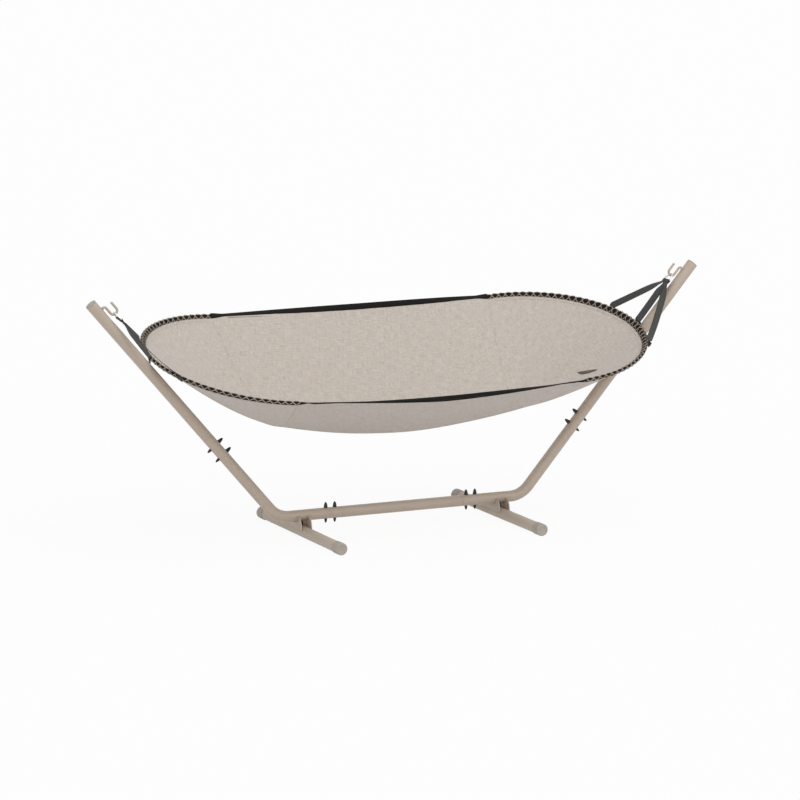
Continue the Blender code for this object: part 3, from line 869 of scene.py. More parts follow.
    @classmethod
    def woven(
        cls,
        name: str,
        columns: int,
        rows: int,
        lay: Callable[[float, float], Laid],
        tube: bool = False,
    ) -> Piece:
        """A grid whose vertices are moved to where a cloth, strap or cord lies.

        Args:
            name: the piece's name.
            columns: faces along it.
            rows: faces across it, or around it for a tube.
            lay: gives a vertex's place and flat coordinates from its two shares, 0 to 1.
            tube: whether the two long edges meet, so that they are merged.

        Returns:
            The new object, with its flat coordinates as a UV map.
        """
        size = {"x_subdivisions": columns, "y_subdivisions": rows, "size": 2}
        piece = cls.start(name, bpy.ops.mesh.primitive_grid_add, **size, calc_uvs=False)
        mesh = piece.data
        flat = []
        for vert in mesh.vertices:
            share = ((vert.co.x + 1) / 2, (vert.co.y + 1) / 2)
            vert.co, uv = lay(*share)
            flat.append(uv)
        layer = mesh.uv_layers.new(name=FLAT_MAP)
        for corner in mesh.loops:
            layer.data[corner.index].uv = flat[corner.vertex_index]
        if tube:
            with cls.editing(piece):
                bpy.ops.mesh.select_all(action="SELECT")
                bpy.ops.mesh.remove_doubles(threshold=MERGE)
                bpy.ops.mesh.select_all(action="DESELECT")
                bpy.ops.mesh.select_non_manifold(extend=False, use_multi_face=False)
                bpy.ops.mesh.fill()
                cls.merge()
        return piece

    @classmethod
    def thicken(cls, piece: Piece, thickness: float) -> None:
        """Gives a flat grid its thickness, half of it on each side."""
        cls.modify(piece, "SOLIDIFY", thickness=thickness, offset=0.0, use_rim=True)


def deliver(
    piece: Piece,
    material: Material,
    slot: str,
    body: Body,
    *nodes: str,
    sharp: float = 38.0,
) -> Piece:
    """Shifts a finished piece into the frame, dresses it and puts it on its body.

    Args:
        piece: the piece, in the stand's coordinates.
        material: its finish.
        slot: not used.
        body: the body it rides on.
        nodes: the CAD nodes that it stands for.
        sharp: the angle in degrees past which an edge stays sharp.

    Returns:
        The piece.
    """
    Bench.focus(piece)
    bpy.ops.object.shade_smooth_by_angle(angle=math.radians(sharp))
    piece.data.transform(Matrix.Translation((0, STAND.plane_y, 0)))
    piece.data.materials.clear()
    piece.data.materials.append(material)
    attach(piece, body.value)
    if nodes:
        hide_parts(*nodes)
    log.info("%s: %d faces, for %s", piece.name, len(piece.data.polygons), ", ".join(nodes) or "-")
    return piece


def arc(centre: Pair, radius: float, start: float, end: float, steps: int) -> list[Pair]:
    """Points of an arc in a turned profile.

    Args:
        centre: (height, radius) of the arc's centre.
        radius: the arc's own radius.
        start: its first angle in degrees, 0 along height and 90 along radius.
        end: its last angle in degrees.
        steps: how many steps it has.

    Returns:
        (height, radius) pairs.
    """
    points = []
    for step in range(steps + 1):
        angle = math.radians(start + (end - start) * step / steps)
        points.append((centre[0] + radius * math.cos(angle), centre[1] + radius * math.sin(angle)))
    return points


@dataclass(frozen=True)
class StandPlan:
    """Sizes and places of the stand, in metres."""

    plane_y: float = -0.0314
    tube_r: float = 0.025
    tube_wall: float = 0.0018
    gap: float = 0.0004
    spine_z: float = 0.0959
    corner_x: float = 0.6031
    arm_angle: float = math.radians(49.3)
    arm_length: float = 1.339
    bend_r: float = 0.12
    spine_splice: float = 0.299
    arm_splice: float = 0.511
    spine_insert: float = 0.095
    arm_insert: float = 0.150
    spine_bolts: Pair = (0.026, 0.070)
    arm_bolts: Pair = (0.0535, 0.112)
    bolt_hole_r: float = 0.0046
    foot_x: float = 0.489
    foot_half: float = 0.4466
    foot_z: float = 0.028 * math.cos(math.pi / 20)

    def along(self, side: Side) -> Vector:
        """The direction up an arm."""
        return Vector((side.value * math.cos(self.arm_angle), 0, math.sin(self.arm_angle)))

    def square(self, side: Side) -> Vector:
        """The direction square to an arm, towards its upper side."""
        return Vector((-side.value * math.sin(self.arm_angle), 0, math.cos(self.arm_angle)))

    def arm(self, side: Side, distance: float, offset: float = 0.0) -> Vector:
        """A point by its distance up the arm and its offset from the arm's axis."""
        corner = Vector((side.value * self.corner_x, 0, self.spine_z))
        return corner + self.along(side) * distance + self.square(side) * offset

    def bolts(self) -> list[tuple[str, Vector, Vector]]:
        """Place, centre and direction (towards its cap nut) of each splice bolt."""
        found = []
        for side in Side:
            for number, distance in enumerate(self.spine_bolts, 1):
                centre = Vector((side.value * (self.spine_splice + distance), 0, self.spine_z))
                found.append((f"spine_{side.label}_{number}", centre, Z_AXIS))
            for number, distance in enumerate(self.arm_bolts, 1):
                centre = self.arm(side, self.arm_splice - distance)
                found.append((f"arm_{side.label}_{number}", centre, self.square(side)))
        return found


@dataclass(frozen=True)
class RimPlan:
    """Sizes and places of the rim: two half-ellipse bows joined by straight sides."""

    roll: float = math.radians(13.25)
    centre: Vector = field(default_factory=lambda: Vector((-0.005, 0.030, 0.8125)))
    side_half: float = 0.694
    bow_depth: float = 0.490
    half_width: float = 0.5135
    tip_lift: float = 0.0405
    tilt_end: float = math.radians(45)
    tilt_tip: float = math.radians(40)
    tilt_side: float = math.radians(8)
    tilt_middle: float = math.radians(62)
    sag_front: float = 0.031
    sag_back: float = 0.0065
    sag_power: float = 1.5
    tilt_powers: Pair = (1.0, 2.2)
    blend_from: float = 0.9
    sleeve_end: float = 0.008
    sleeve_tip: float = 0.013
    sleeve_thick: float = 0.0064
    webbing_half: float = 0.015
    bow_length: float = 1.58

    @property
    def across(self) -> Vector:
        """The rolled direction across the bed."""
        return Vector((0, math.cos(self.roll), math.sin(self.roll)))

    @property
    def upward(self) -> Vector:
        """The rolled direction up from the rim's plane."""
        return Vector((0, -math.sin(self.roll), math.cos(self.roll)))

    def bow_centre(self, side: Side, angle: float) -> Vector:
        """The rim's centre line at an angle from the tip of a bow."""
        out = X_AXIS * side.value
        return (
            self.centre
            + out * (self.side_half + self.bow_depth * math.cos(angle))
            + self.across * (self.half_width * math.sin(angle))
            + self.upward * (self.tip_lift * math.cos(angle))
        )

    def bow_tangent(self, side: Side, angle: float) -> Vector:
        """The rim's direction at an angle from the tip of a bow."""
        out = X_AXIS * side.value
        return (
            -out * (self.bow_depth * math.sin(angle))
            + self.across * (self.half_width * math.cos(angle))
            - self.upward * (self.tip_lift * math.sin(angle))
        ).normalized()

    def bow(self, side: Side, angle: float) -> tuple[Vector, Vector, Vector]:
        """Centre, outward edge direction and face normal of the band at an angle from the tip."""
        out = X_AXIS * side.value
        centre = self.bow_centre(side, angle)
        normal = (self.upward * self.bow_depth - out * self.tip_lift).normalized()
        radial = facing(self.bow_tangent(side, angle).cross(normal), centre - self.centre)
        tilt = self.tilt_end + (self.tilt_tip - self.tilt_end) * math.cos(angle) ** 2
        edge = radial * math.cos(tilt) + normal * math.sin(tilt)
        face = normal * math.cos(tilt) - radial * math.sin(tilt)
        return centre, edge, face

    def long_side(self, end: End, x: float) -> tuple[Vector, Vector, Vector]:
        """The same for the straight sides, which hang a little between the bows."""
        run = min(abs(x / self.side_half), 1.0)
        sag = (self.sag_front if end is End.FRONT else self.sag_back) * (1 - run**self.sag_power)
        centre = self.centre + Vector((x, 0, -sag)) + self.across * (end.value * self.half_width)
        middle = 1 - run ** self.tilt_powers[x >= 0]
        tilt = self.tilt_side + (self.tilt_middle - self.tilt_side) * middle
        blend = smooth_step((run - self.blend_from) / (1 - self.blend_from))
        tilt += (self.tilt_end - tilt) * blend
        radial = self.across * end.value
        edge = radial * math.cos(tilt) + self.upward * math.sin(tilt)
        face = self.upward * math.cos(tilt) - radial * math.sin(tilt)
        return centre, edge, face

    def sleeve_half(self, angle: float) -> float:
        """Half the width of the edge sleeve, widest at the tip."""
        return self.sleeve_end + (self.sleeve_tip - self.sleeve_end) * math.cos(angle) ** 2


STAND = StandPlan()
RIM = RimPlan()


@dataclass(frozen=True)
class HookPlan:
    """Sizes of a hook, by distance up the arm and offset from its axis."""

    rod_r: float = 0.0055
    root: float = 0.0305
    leg: float = 0.0405
    top: float = 1.2855
    top_r: float = 0.010
    turn: float = 1.2425
    turn_r: float = 0.0168
    tip: float = 1.276
    seat_angle: float = math.radians(12)

    @property
    def turn_offset(self) -> float:
        """Offset of the centre of the hook's round turn."""
        return self.leg + self.turn_r

    def seat(self, side: Side) -> Vector:
        """Where the ring bears on the hook's centre line, on the swing axis."""
        return STAND.arm(
            side,
            self.turn - self.turn_r * math.cos(self.seat_angle),
            self.turn_offset - self.turn_r * math.sin(self.seat_angle),
        )

    def pull(self, side: Side) -> Vector:
        """The direction in which the straps pull the ring."""
        way = RIM.bow_centre(side, 0.0) - self.seat(side)
        return Vector((way.x, 0, way.z)).normalized()


HOOK = HookPlan()


@dataclass
class SpineTubes:
    """The centre tube, the two bent corner tubes and the two arms with their end plugs."""

    coat: Material
    plug_plastic: Material
    sides: int = 56
    rim: float = 0.0009
    shoulder: float = 0.006
    plug_thickness: float = 0.003

    def narrowed(self, splice: float, insert: float) -> tuple[list, list]:
        """Outer and inner profile of a narrowed end, from its tip inwards.

        Args:
            splice: the distance at which the full tube starts.
            insert: how far the narrowed end reaches before it.

        Returns:
            Two lists of (distance, radius) pairs.
        """
        outer_r = STAND.tube_r - STAND.tube_wall - STAND.gap
        inner_r = outer_r - STAND.tube_wall
        tip = splice - insert
        edge = splice + STAND.gap
        outer = [
            (tip, outer_r - self.rim),
            (tip + self.rim, outer_r),
            (edge, outer_r),
            (edge, STAND.tube_r - self.rim),
            (edge + 0.3 * self.rim, STAND.tube_r - 0.3 * self.rim),
            (edge + self.rim, STAND.tube_r),
        ]
        inner = [
            (tip, inner_r),
            (splice, inner_r),
            (splice + self.shoulder, STAND.tube_r - STAND.tube_wall),
        ]
        return outer, inner

    def drill_bolts(self, tube: Piece, wanted: Callable[[Vector], bool]) -> None:
        """Drills a tube for the splice bolts whose centres pass a test."""
        for _, centre, axis in STAND.bolts():
            if wanted(centre):
                Bench.drill(tube, centre, axis, STAND.bolt_hole_r, 3 * STAND.tube_r)

    def centre_tube(self) -> None:
        """The straight middle of the spine, narrowed at both ends."""
        outer, inner = self.narrowed(-STAND.spine_splice, STAND.spine_insert)
        far_outer = [(-d, r) for d, r in reversed(outer)]
        far_inner = [(-d, r) for d, r in reversed(inner)]
        profile = outer + far_outer + list(reversed(inner + far_inner))
        start = Vector((0, 0, STAND.spine_z))
        tube = Bench.turned("coated_centre_tube", start, X_AXIS, profile, self.sides, hollow=True)
        reach = STAND.spine_splice + STAND.spine_insert
        self.drill_bolts(tube, lambda centre: abs(centre.x) < reach)
        deliver(tube, self.coat, "taupe_powder_coat", Body.STAND, "centre_tube")

    def corner_tube(self, side: Side) -> None:
        """The bent tube from the spine up into an arm."""
        out = X_AXIS * side.value
        tangent = STAND.bend_r * math.tan(STAND.arm_angle / 2)
        bend_x = STAND.corner_x - tangent
        start = Vector((side.value * STAND.spine_splice, 0, STAND.spine_z))
        bend = Vector((side.value * bend_x, 0, STAND.spine_z + STAND.bend_r))
        route = [
            Run(out * (bend_x - STAND.spine_splice)),
            Turn(bend, Y_AXIS * -side.value, STAND.arm_angle, 18),
            Run(STAND.along(side) * (STAND.arm_splice - tangent)),
        ]
        name = f"coated_corner_tube_{side.label}"
        tube = Bench.swept(name, start, out, STAND.tube_r, route, self.sides)
        Bench.wall(tube, STAND.tube_wall, self.rim)
        self.drill_bolts(tube, lambda centre: centre.x * side.value > 0)
        lower = Vector((side.value * STAND.foot_x, 0, STAND.spine_z - STAND.tube_r))
        Bench.drill(tube, lower, Z_AXIS, STAND.bolt_hole_r, STAND.tube_r)
        deliver(
            tube, self.coat, "taupe_powder_coat", Body.STAND, f"corner_tube_{side.label}"
        )

    def arm(self, side: Side) -> None:
        """The straight arm, narrowed at its foot, and the plug in its end."""
        top = STAND.arm_length - self.plug_thickness
        bore = STAND.tube_r - STAND.tube_wall
        outer, inner = self.narrowed(STAND.arm_splice, STAND.arm_insert)
        rim = [(top - self.rim, STAND.tube_r), (top, STAND.tube_r - self.rim), (top, bore)]
        base, along = STAND.arm(side, 0.0), STAND.along(side)
        tube = Bench.turned(
            f"coated_arm_tube_{side.label}",
            base,
            along,
            outer + rim + list(reversed(inner)),
            self.sides,
            hollow=True,
        )
        self.drill_bolts(tube, lambda centre: centre.x * side.value > STAND.corner_x)
        deliver(tube, self.coat, "taupe_powder_coat", Body.STAND, f"arm_tube_{side.label}")
        self.plug(side, top, bore - STAND.gap)

    def plug(self, side: Side, top: float, stem: float) -> None:
        """A moulded plug with a low dome and a ribbed stem.

        Args:
            side: which arm it closes.
            top: distance up the arm of the tube's end.
            stem: the radius of its stem.
        """
        seat, full = STAND.gap, STAND.tube_r
        profile = [(-0.018, 0.0), (-0.018, stem - 0.001), (-0.0165, stem)]
        for rib in range(3):
            low = -0.0145 + 0.0045 * rib
            profile += [(low, stem), (low + 0.0004, stem - 0.0008), (low + 0.0024, stem - 0.0008)]
            profile += [(low + 0.0028, stem)]
        profile += [(seat, stem), (seat, full - 0.0002)]
        profile += [(seat + 0.0008, full), (0.0015, full - 0.0006), (0.0027, full - 0.004)]
        profile += [(0.0034, 0.6 * full), (self.plug_thickness + 0.0009, 0.25 * full)]
        profile += [(self.plug_thickness + 0.001, 0.0)]
        name = f"moulded_arm_plug_{side.label}"
        plug = Bench.turned(name, STAND.arm(side, top), STAND.along(side), profile, self.sides)
        deliver(
            plug, self.plug_plastic, "taupe_plastic", Body.STAND, f"arm_plug_{side.label}", sharp=30
        )

    def build(self) -> None:
        """Makes all the tubes."""
        self.centre_tube()
        for side in Side:
            self.corner_tube(side)
            self.arm(side)


@dataclass
class SpliceFasteners:
    """The eight splice bolts with their domed heads, and the eight domed cap nuts."""

    black: Material
    bolt_r: float = 0.004
    head_r: float = 0.007
    head_h: float = 0.019
    nut_r: float = 0.0095
    nut_h: float = 0.025
    nut_bore: float = 0.012
    dome_foot: float = 0.0030
    dome_steps: int = 10
    dome_waist: float = 0.88
    dome_powers: Pair = (1.8, 0.55)

    def dome(self, radius: float, height: float) -> list[Pair]:
        """Profile of a domed cap, from its seat to its top, with a rolled lip at its foot."""
        points = [
            (0.0, 0.93 * radius),
            (0.0006, radius),
            (0.0016, radius),
            (0.0024, 0.90 * radius),
        ]
        fullness, roundness = self.dome_powers
        for step in range(1, self.dome_steps):
            share = math.sin(math.pi / 2 * step / self.dome_steps)
            width = self.dome_waist * radius * (1 - share**fullness) ** roundness
            points.append((self.dome_foot + (height - self.dome_foot) * share, width))
        return points + [(height, 0.0)]

    def build(self) -> None:
        """Turns each bolt and each cap nut."""
        seat = STAND.tube_r + STAND.gap
        bore = self.bolt_r + STAND.gap
        head = [(-seat - height, radius) for height, radius in self.dome(self.head_r, self.head_h)]
        tip = seat + self.nut_bore - 2 * STAND.gap
        shank = [(-seat, self.bolt_r), (tip - 0.0006, self.bolt_r), (tip, self.bolt_r - 0.0006)]
        bolt = list(reversed(head)) + shank + [(tip, 0.0)]
        nut = [(self.nut_bore, 0.0), (self.nut_bore, bore), (0.0, bore)]
        nut += self.dome(self.nut_r, self.nut_h)
        for place, centre, axis in STAND.bolts():
            for kind, profile, base in (
                ("splice_bolt", bolt, centre),
                ("cap_nut", nut, centre + axis * seat),
            ):
                piece = Bench.turned(f"black_{kind}_{place}", base, axis, profile, 32)
                deliver(piece, self.black, "black_bolt", Body.STAND, f"{kind}_{place}", sharp=50)


@dataclass
class Feet:
    """The two foot tubes with their end caps, brackets, spacers and bolts."""

    coat: Material
    cap_plastic: Material
    black: Material
    steel: Material
    sides: int = 56
    cap_r: float = 0.0276
    cap_length: float = 0.052
    cap_end: float = 0.004
    cap_corner: float = 0.0032
    cap_dip: float = 0.0004
    plate_thickness: float = 0.004
    plate_inner: float = 0.0223
    plate_bottom: float = 0.0395
    plate_half: float = 0.065
    plate_tip: float = 0.029
    plate_edge: float = 0.0006
    spacer_r: float = 0.0095
    bolt_r: float = 0.004
    head_r: float = 0.0065
    head_h: float = 0.006
    tool_hole_r: float = 0.008
    bolt_reach: float = 0.014
    socket_r: float = 0.0028
    socket_depth: float = 0.003
    saddle_rise: float = 0.003

    def tube(self, side: Side) -> None:
        """A foot tube, drilled for its bolt from above and for the tool from below."""
        half = STAND.foot_half - self.cap_end - STAND.gap
        bore, full, rim = STAND.tube_r - STAND.tube_wall, STAND.tube_r, 0.0005
        profile = [(-half, full - rim), (-half + rim, full), (half - rim, full), (half, full - rim)]
        profile += [(half, bore), (-half, bore)]
        centre = Vector((side.value * STAND.foot_x, 0, STAND.foot_z))
        name = f"coated_foot_tube_{side.label}"
        tube = Bench.turned(name, centre, Y_AXIS, profile, self.sides, hollow=True)
        for way, radius in ((1, STAND.bolt_hole_r), (-1, self.tool_hole_r)):
            wall = centre + Z_AXIS * (way * full)
            Bench.drill(tube, wall, Z_AXIS, radius, full)
        deliver(tube, self.coat, "taupe_powder_coat", Body.STAND, f"foot_tube_{side.label}")

    def cap(self, side: Side, end: End) -> None:
        """A moulded cup over one end of a foot tube."""
        bore = STAND.tube_r + STAND.gap
        skirt = self.cap_length - self.cap_end
        corner, dip = self.cap_corner, self.cap_end - self.cap_dip
        profile = [(0.0, 0.0), (0.0, bore), (-skirt, bore), (-skirt, self.cap_r - 0.0008)]
        profile += [(-skirt + 0.0006, self.cap_r)]
        profile += arc((self.cap_end - corner, self.cap_r - corner), corner, 90, 8, 6)
        profile += [(self.cap_end, self.cap_r * 0.8), (self.cap_end, self.cap_r * 0.78)]
        profile += [(dip, self.cap_r * 0.76), (dip, 0.0)]
        reach = end.value * (STAND.foot_half - self.cap_end)
        base = Vector((side.value * STAND.foot_x, reach, STAND.foot_z))
        name = f"moulded_foot_cap_{side.label}_{end.label}"
        piece = Bench.turned(name, base, Y_AXIS * end.value, profile, self.sides)
        node = f"foot_cap_{side.label}_{end.label}"
        deliver(piece, self.cap_plastic, "taupe_plastic", Body.STAND, node, sharp=40)

    def plate(self, side: Side, label: str, way: int) -> None:
        """A half-dome plate under the spine, with a saddle for it and its edges broken.

        Args:
            side: which foot it stands on.
            label: inner or outer, for its name.
            way: -1 for the inner plate, 1 for the outer one.
        """
        x = side.value * (STAND.foot_x + way * (self.plate_inner + self.plate_thickness / 2))
        tip_z = STAND.spine_z + self.saddle_rise
        height = tip_z - self.plate_bottom
        name = f"welded_plate_{side.label}_{label}"
        centre = Vector((x - self.plate_thickness / 2, 0, self.plate_bottom))
        size = {"vertices": 96, "radius": 1.0, "fill_type": "NGON"}
        place = {"location": centre, "rotation": turn_to(X_AXIS, Y_AXIS)}
        plate = Bench.start(name, bpy.ops.mesh.primitive_circle_add, **size, **place)
        shoulder = self.plate_half - self.plate_tip
        with Bench.editing(plate):
            bpy.ops.mesh.select_all(action="SELECT")
            bpy.ops.transform.resize(value=(1, shoulder, height), center_override=centre)
            for way_y in (-1, 1):
                Bench.pick(plate, lambda co: (co.y - centre.y) * way_y > 1e-5)
                bpy.ops.transform.translate(value=(0, way_y * self.plate_tip, 0))
            bpy.ops.mesh.select_all(action="SELECT")
            bpy.ops.mesh.bisect(
                plane_co=centre, plane_no=(0, 0, 1), clear_inner=True, use_fill=False
            )
            bpy.ops.mesh.select_all(action="SELECT")
            bpy.ops.mesh.extrude_region_move(
                TRANSFORM_OT_translate={"value": (self.plate_thickness, 0, 0)}
            )
            Bench.merge()
        middle = Vector((x, 0, STAND.spine_z))
        Bench.drill(plate, middle, X_AXIS, STAND.tube_r + STAND.gap, 0.02)
        Bench.break_edges(plate, self.plate_edge, 50)
        node = f"bracket_plate_{side.label}_{label}"
        deliver(plate, self.coat, "taupe_powder_coat", Body.STAND, node, sharp=30)

    def spacer(self, side: Side) -> None:
        """The black bush between the foot and the spine."""
        low = STAND.foot_z + STAND.tube_r + STAND.gap
        high = STAND.spine_z - STAND.tube_r - STAND.gap
        full, bore, edge = self.spacer_r, self.bolt_r + 2 * STAND.gap, 0.0008
        profile = [(low, full - edge), (low + edge, full), (high - edge, full), (high, full - edge)]
        profile += [(high, bore), (low, bore)]
        base = Vector((side.value * STAND.foot_x, 0, 0))
        piece = Bench.turned(f"black_spacer_{side.label}", base, Z_AXIS, profile, 40, hollow=True)
        deliver(piece, self.black, "black_plastic", Body.STAND, f"foot_spacer_{side.label}")

    def bolt(self, side: Side) -> None:
        """The pan-head bolt from inside the foot up into the spine, with a round socket."""
        bore = math.sqrt((STAND.tube_r - STAND.tube_wall) ** 2 - self.head_r**2)
        top = STAND.foot_z + bore - 2 * STAND.gap
        end = STAND.spine_z - STAND.tube_r - STAND.gap + self.bolt_reach
        low, full, edge = top - self.head_h, self.head_r, 0.001
        socket, floor = self.socket_r, low + self.socket_depth
        profile = [(floor, 0.0), (floor, socket), (low, socket), (low, full - edge)]
        profile += [(low + edge, full), (top, full), (top, self.bolt_r)]
        profile += [(end - 0.0008, self.bolt_r), (end, self.bolt_r - 0.0008), (end, 0.0)]
        base = Vector((side.value * STAND.foot_x, 0, 0))
        piece = Bench.turned(f"plated_foot_bolt_{side.label}", base, Z_AXIS, profile, 32)
        node = f"foot_bolt_{side.label}"
        deliver(piece, self.steel, "zinc_plated_steel", Body.STAND, node)

    def build(self) -> None:
        """Makes both feet."""
        for side in Side:
            self.tube(side)
            for end in End:
                self.cap(side, end)
            for label, way in (("inner", -1), ("outer", 1)):
                self.plate(side, label, way)
            self.spacer(side)
            self.bolt(side)


@dataclass
class Hooks:
    """The two bent-rod hooks, each with the weld at its root."""

    coat: Material
    sides: int = 24
    ripple: float = 0.0005
    ripple_scale: float = 500

    def build(self) -> None:
        """Bends both hooks."""
        for side in Side:
            self.hook(side)

    def hook(self, side: Side) -> None:
        """One hook: out of the arm, down along it, round the seat and up to its tip."""
        along, square = STAND.along(side), STAND.square(side)
        axis = Y_AXIS * side.value
        start = STAND.arm(side, HOOK.top, STAND.tube_r + STAND.gap)
        route = [
            Run(square * (HOOK.root - STAND.tube_r - STAND.gap)),
            Turn(STAND.arm(side, HOOK.top - HOOK.top_r, HOOK.root), axis, math.pi / -2, 10),
            Run(along * (HOOK.turn - HOOK.top + HOOK.top_r)),
            Turn(STAND.arm(side, HOOK.turn, HOOK.turn_offset), axis, math.pi, 24),
            Run(along * (HOOK.tip - HOOK.turn)),
        ]
        rod = Bench.swept(
            f"welded_hook_{side.label}", start, square, HOOK.rod_r, route, self.sides
        )
        tip = STAND.arm(side, HOOK.tip, HOOK.turn_offset + HOOK.turn_r)
        Bench.round_end(rod, tip, along, HOOK.rod_r)
        with Bench.editing(rod):
            Bench.pick(rod, lambda co: abs((co - start).dot(square)) < NEAR)
            Bench.close_end(start, ORIGIN)
            Bench.merge()
        weld = self.weld(side, start, square)
        Bench.join(rod, weld)
        deliver(rod, self.coat, "taupe_powder_coat", Body.STAND, f"hook_{side.label}", sharp=60)

    def weld(self, side: Side, root: Vector, square: Vector) -> Piece:
        """The bead of weld round the rod where it leaves the arm.

        Args:
            side: which arm it is on.
            root: the centre of the rod's foot.
            square: the direction out of the arm.

        Returns:
            The bead, a closed ring.
        """
        inner = HOOK.rod_r - 0.0004
        profile = [(0.0, inner), (0.0034, inner), (0.0030, inner + 0.0012)]
        profile += [(0.0021, inner + 0.0024), (0.0009, inner + 0.0032), (0.0, inner + 0.0034)]
        bead = Bench.turned(f"hook_weld_{side.label}", root, square, profile, 28, hollow=True)
        for vert in bead.data.vertices:
            out = vert.co - root
            ripple = noise.noise(out * self.ripple_scale) * self.ripple
            flat = out - square * out.dot(square)
            if flat.length - inner > 1e-5:
                vert.co += flat.normalized() * ripple
        return bead


@dataclass
class Rings:
    """The two polished triangular rings that hang on the hooks."""

    steel: Material
    wire_r: float = 0.003
    apex_back: float = 0.0102
    apex_r: float = 0.0115
    bar_drop: float = 0.028
    bar_half: float = 0.031
    corner_r: float = 0.005
    sides: int = 20

    def build(self) -> None:
        """Bends both rings."""
        for side in Side:
            self.ring(side)

    def ring(self, side: Side) -> None:
        """One ring: from the middle of its bar round both corners and the apex."""
        seat, pull = HOOK.seat(side), HOOK.pull(side)
        axis = pull.cross(Y_AXIS)
        apex = (self.apex_r - self.apex_back, 0.0)
        corner = (self.bar_drop - self.corner_r, self.bar_half - self.corner_r)
        way = (corner[0] - apex[0], corner[1] - apex[1])
        span = math.hypot(*way)
        lean = math.atan2(way[1], way[0]) + math.acos((self.apex_r - self.corner_r) / span)
        leg = math.sqrt(span**2 - (self.apex_r - self.corner_r) ** 2)

        def at(drop: float, y: float) -> Vector:
            """A point in the ring's plane."""
            return seat + pull * drop + Y_AXIS * y

        leg_way = (pull * math.sin(lean) - Y_AXIS * math.cos(lean)) * -leg
        back_way = (pull * math.sin(lean) + Y_AXIS * math.cos(lean)) * leg
        route = [
            Run(Y_AXIS * corner[1]),
            Turn(at(*corner), axis, lean, 8),
            Run(leg_way),
            Turn(at(*apex), axis, 2 * (math.pi - lean), 20),
            Run(back_way),
            Turn(at(corner[0], -corner[1]), axis, lean, 8),
            Run(Y_AXIS * corner[1]),
        ]
        name = f"polished_ring_{side.label}"
        ring = Bench.swept(name, at(self.bar_drop, 0), Y_AXIS, self.wire_r, route, self.sides, pull)
        deliver(ring, self.steel, "polished_steel", Body.HAMMOCK, f"ring_{side.label}", sharp=60)


@dataclass(frozen=True)
class StrapLay:
    """How one strap of an end runs: its ends, how far it turns over on its way, and its slack."""

    label: str
    angle: float
    bar_y: float
    turns: dict[Side, float]
    slack: float


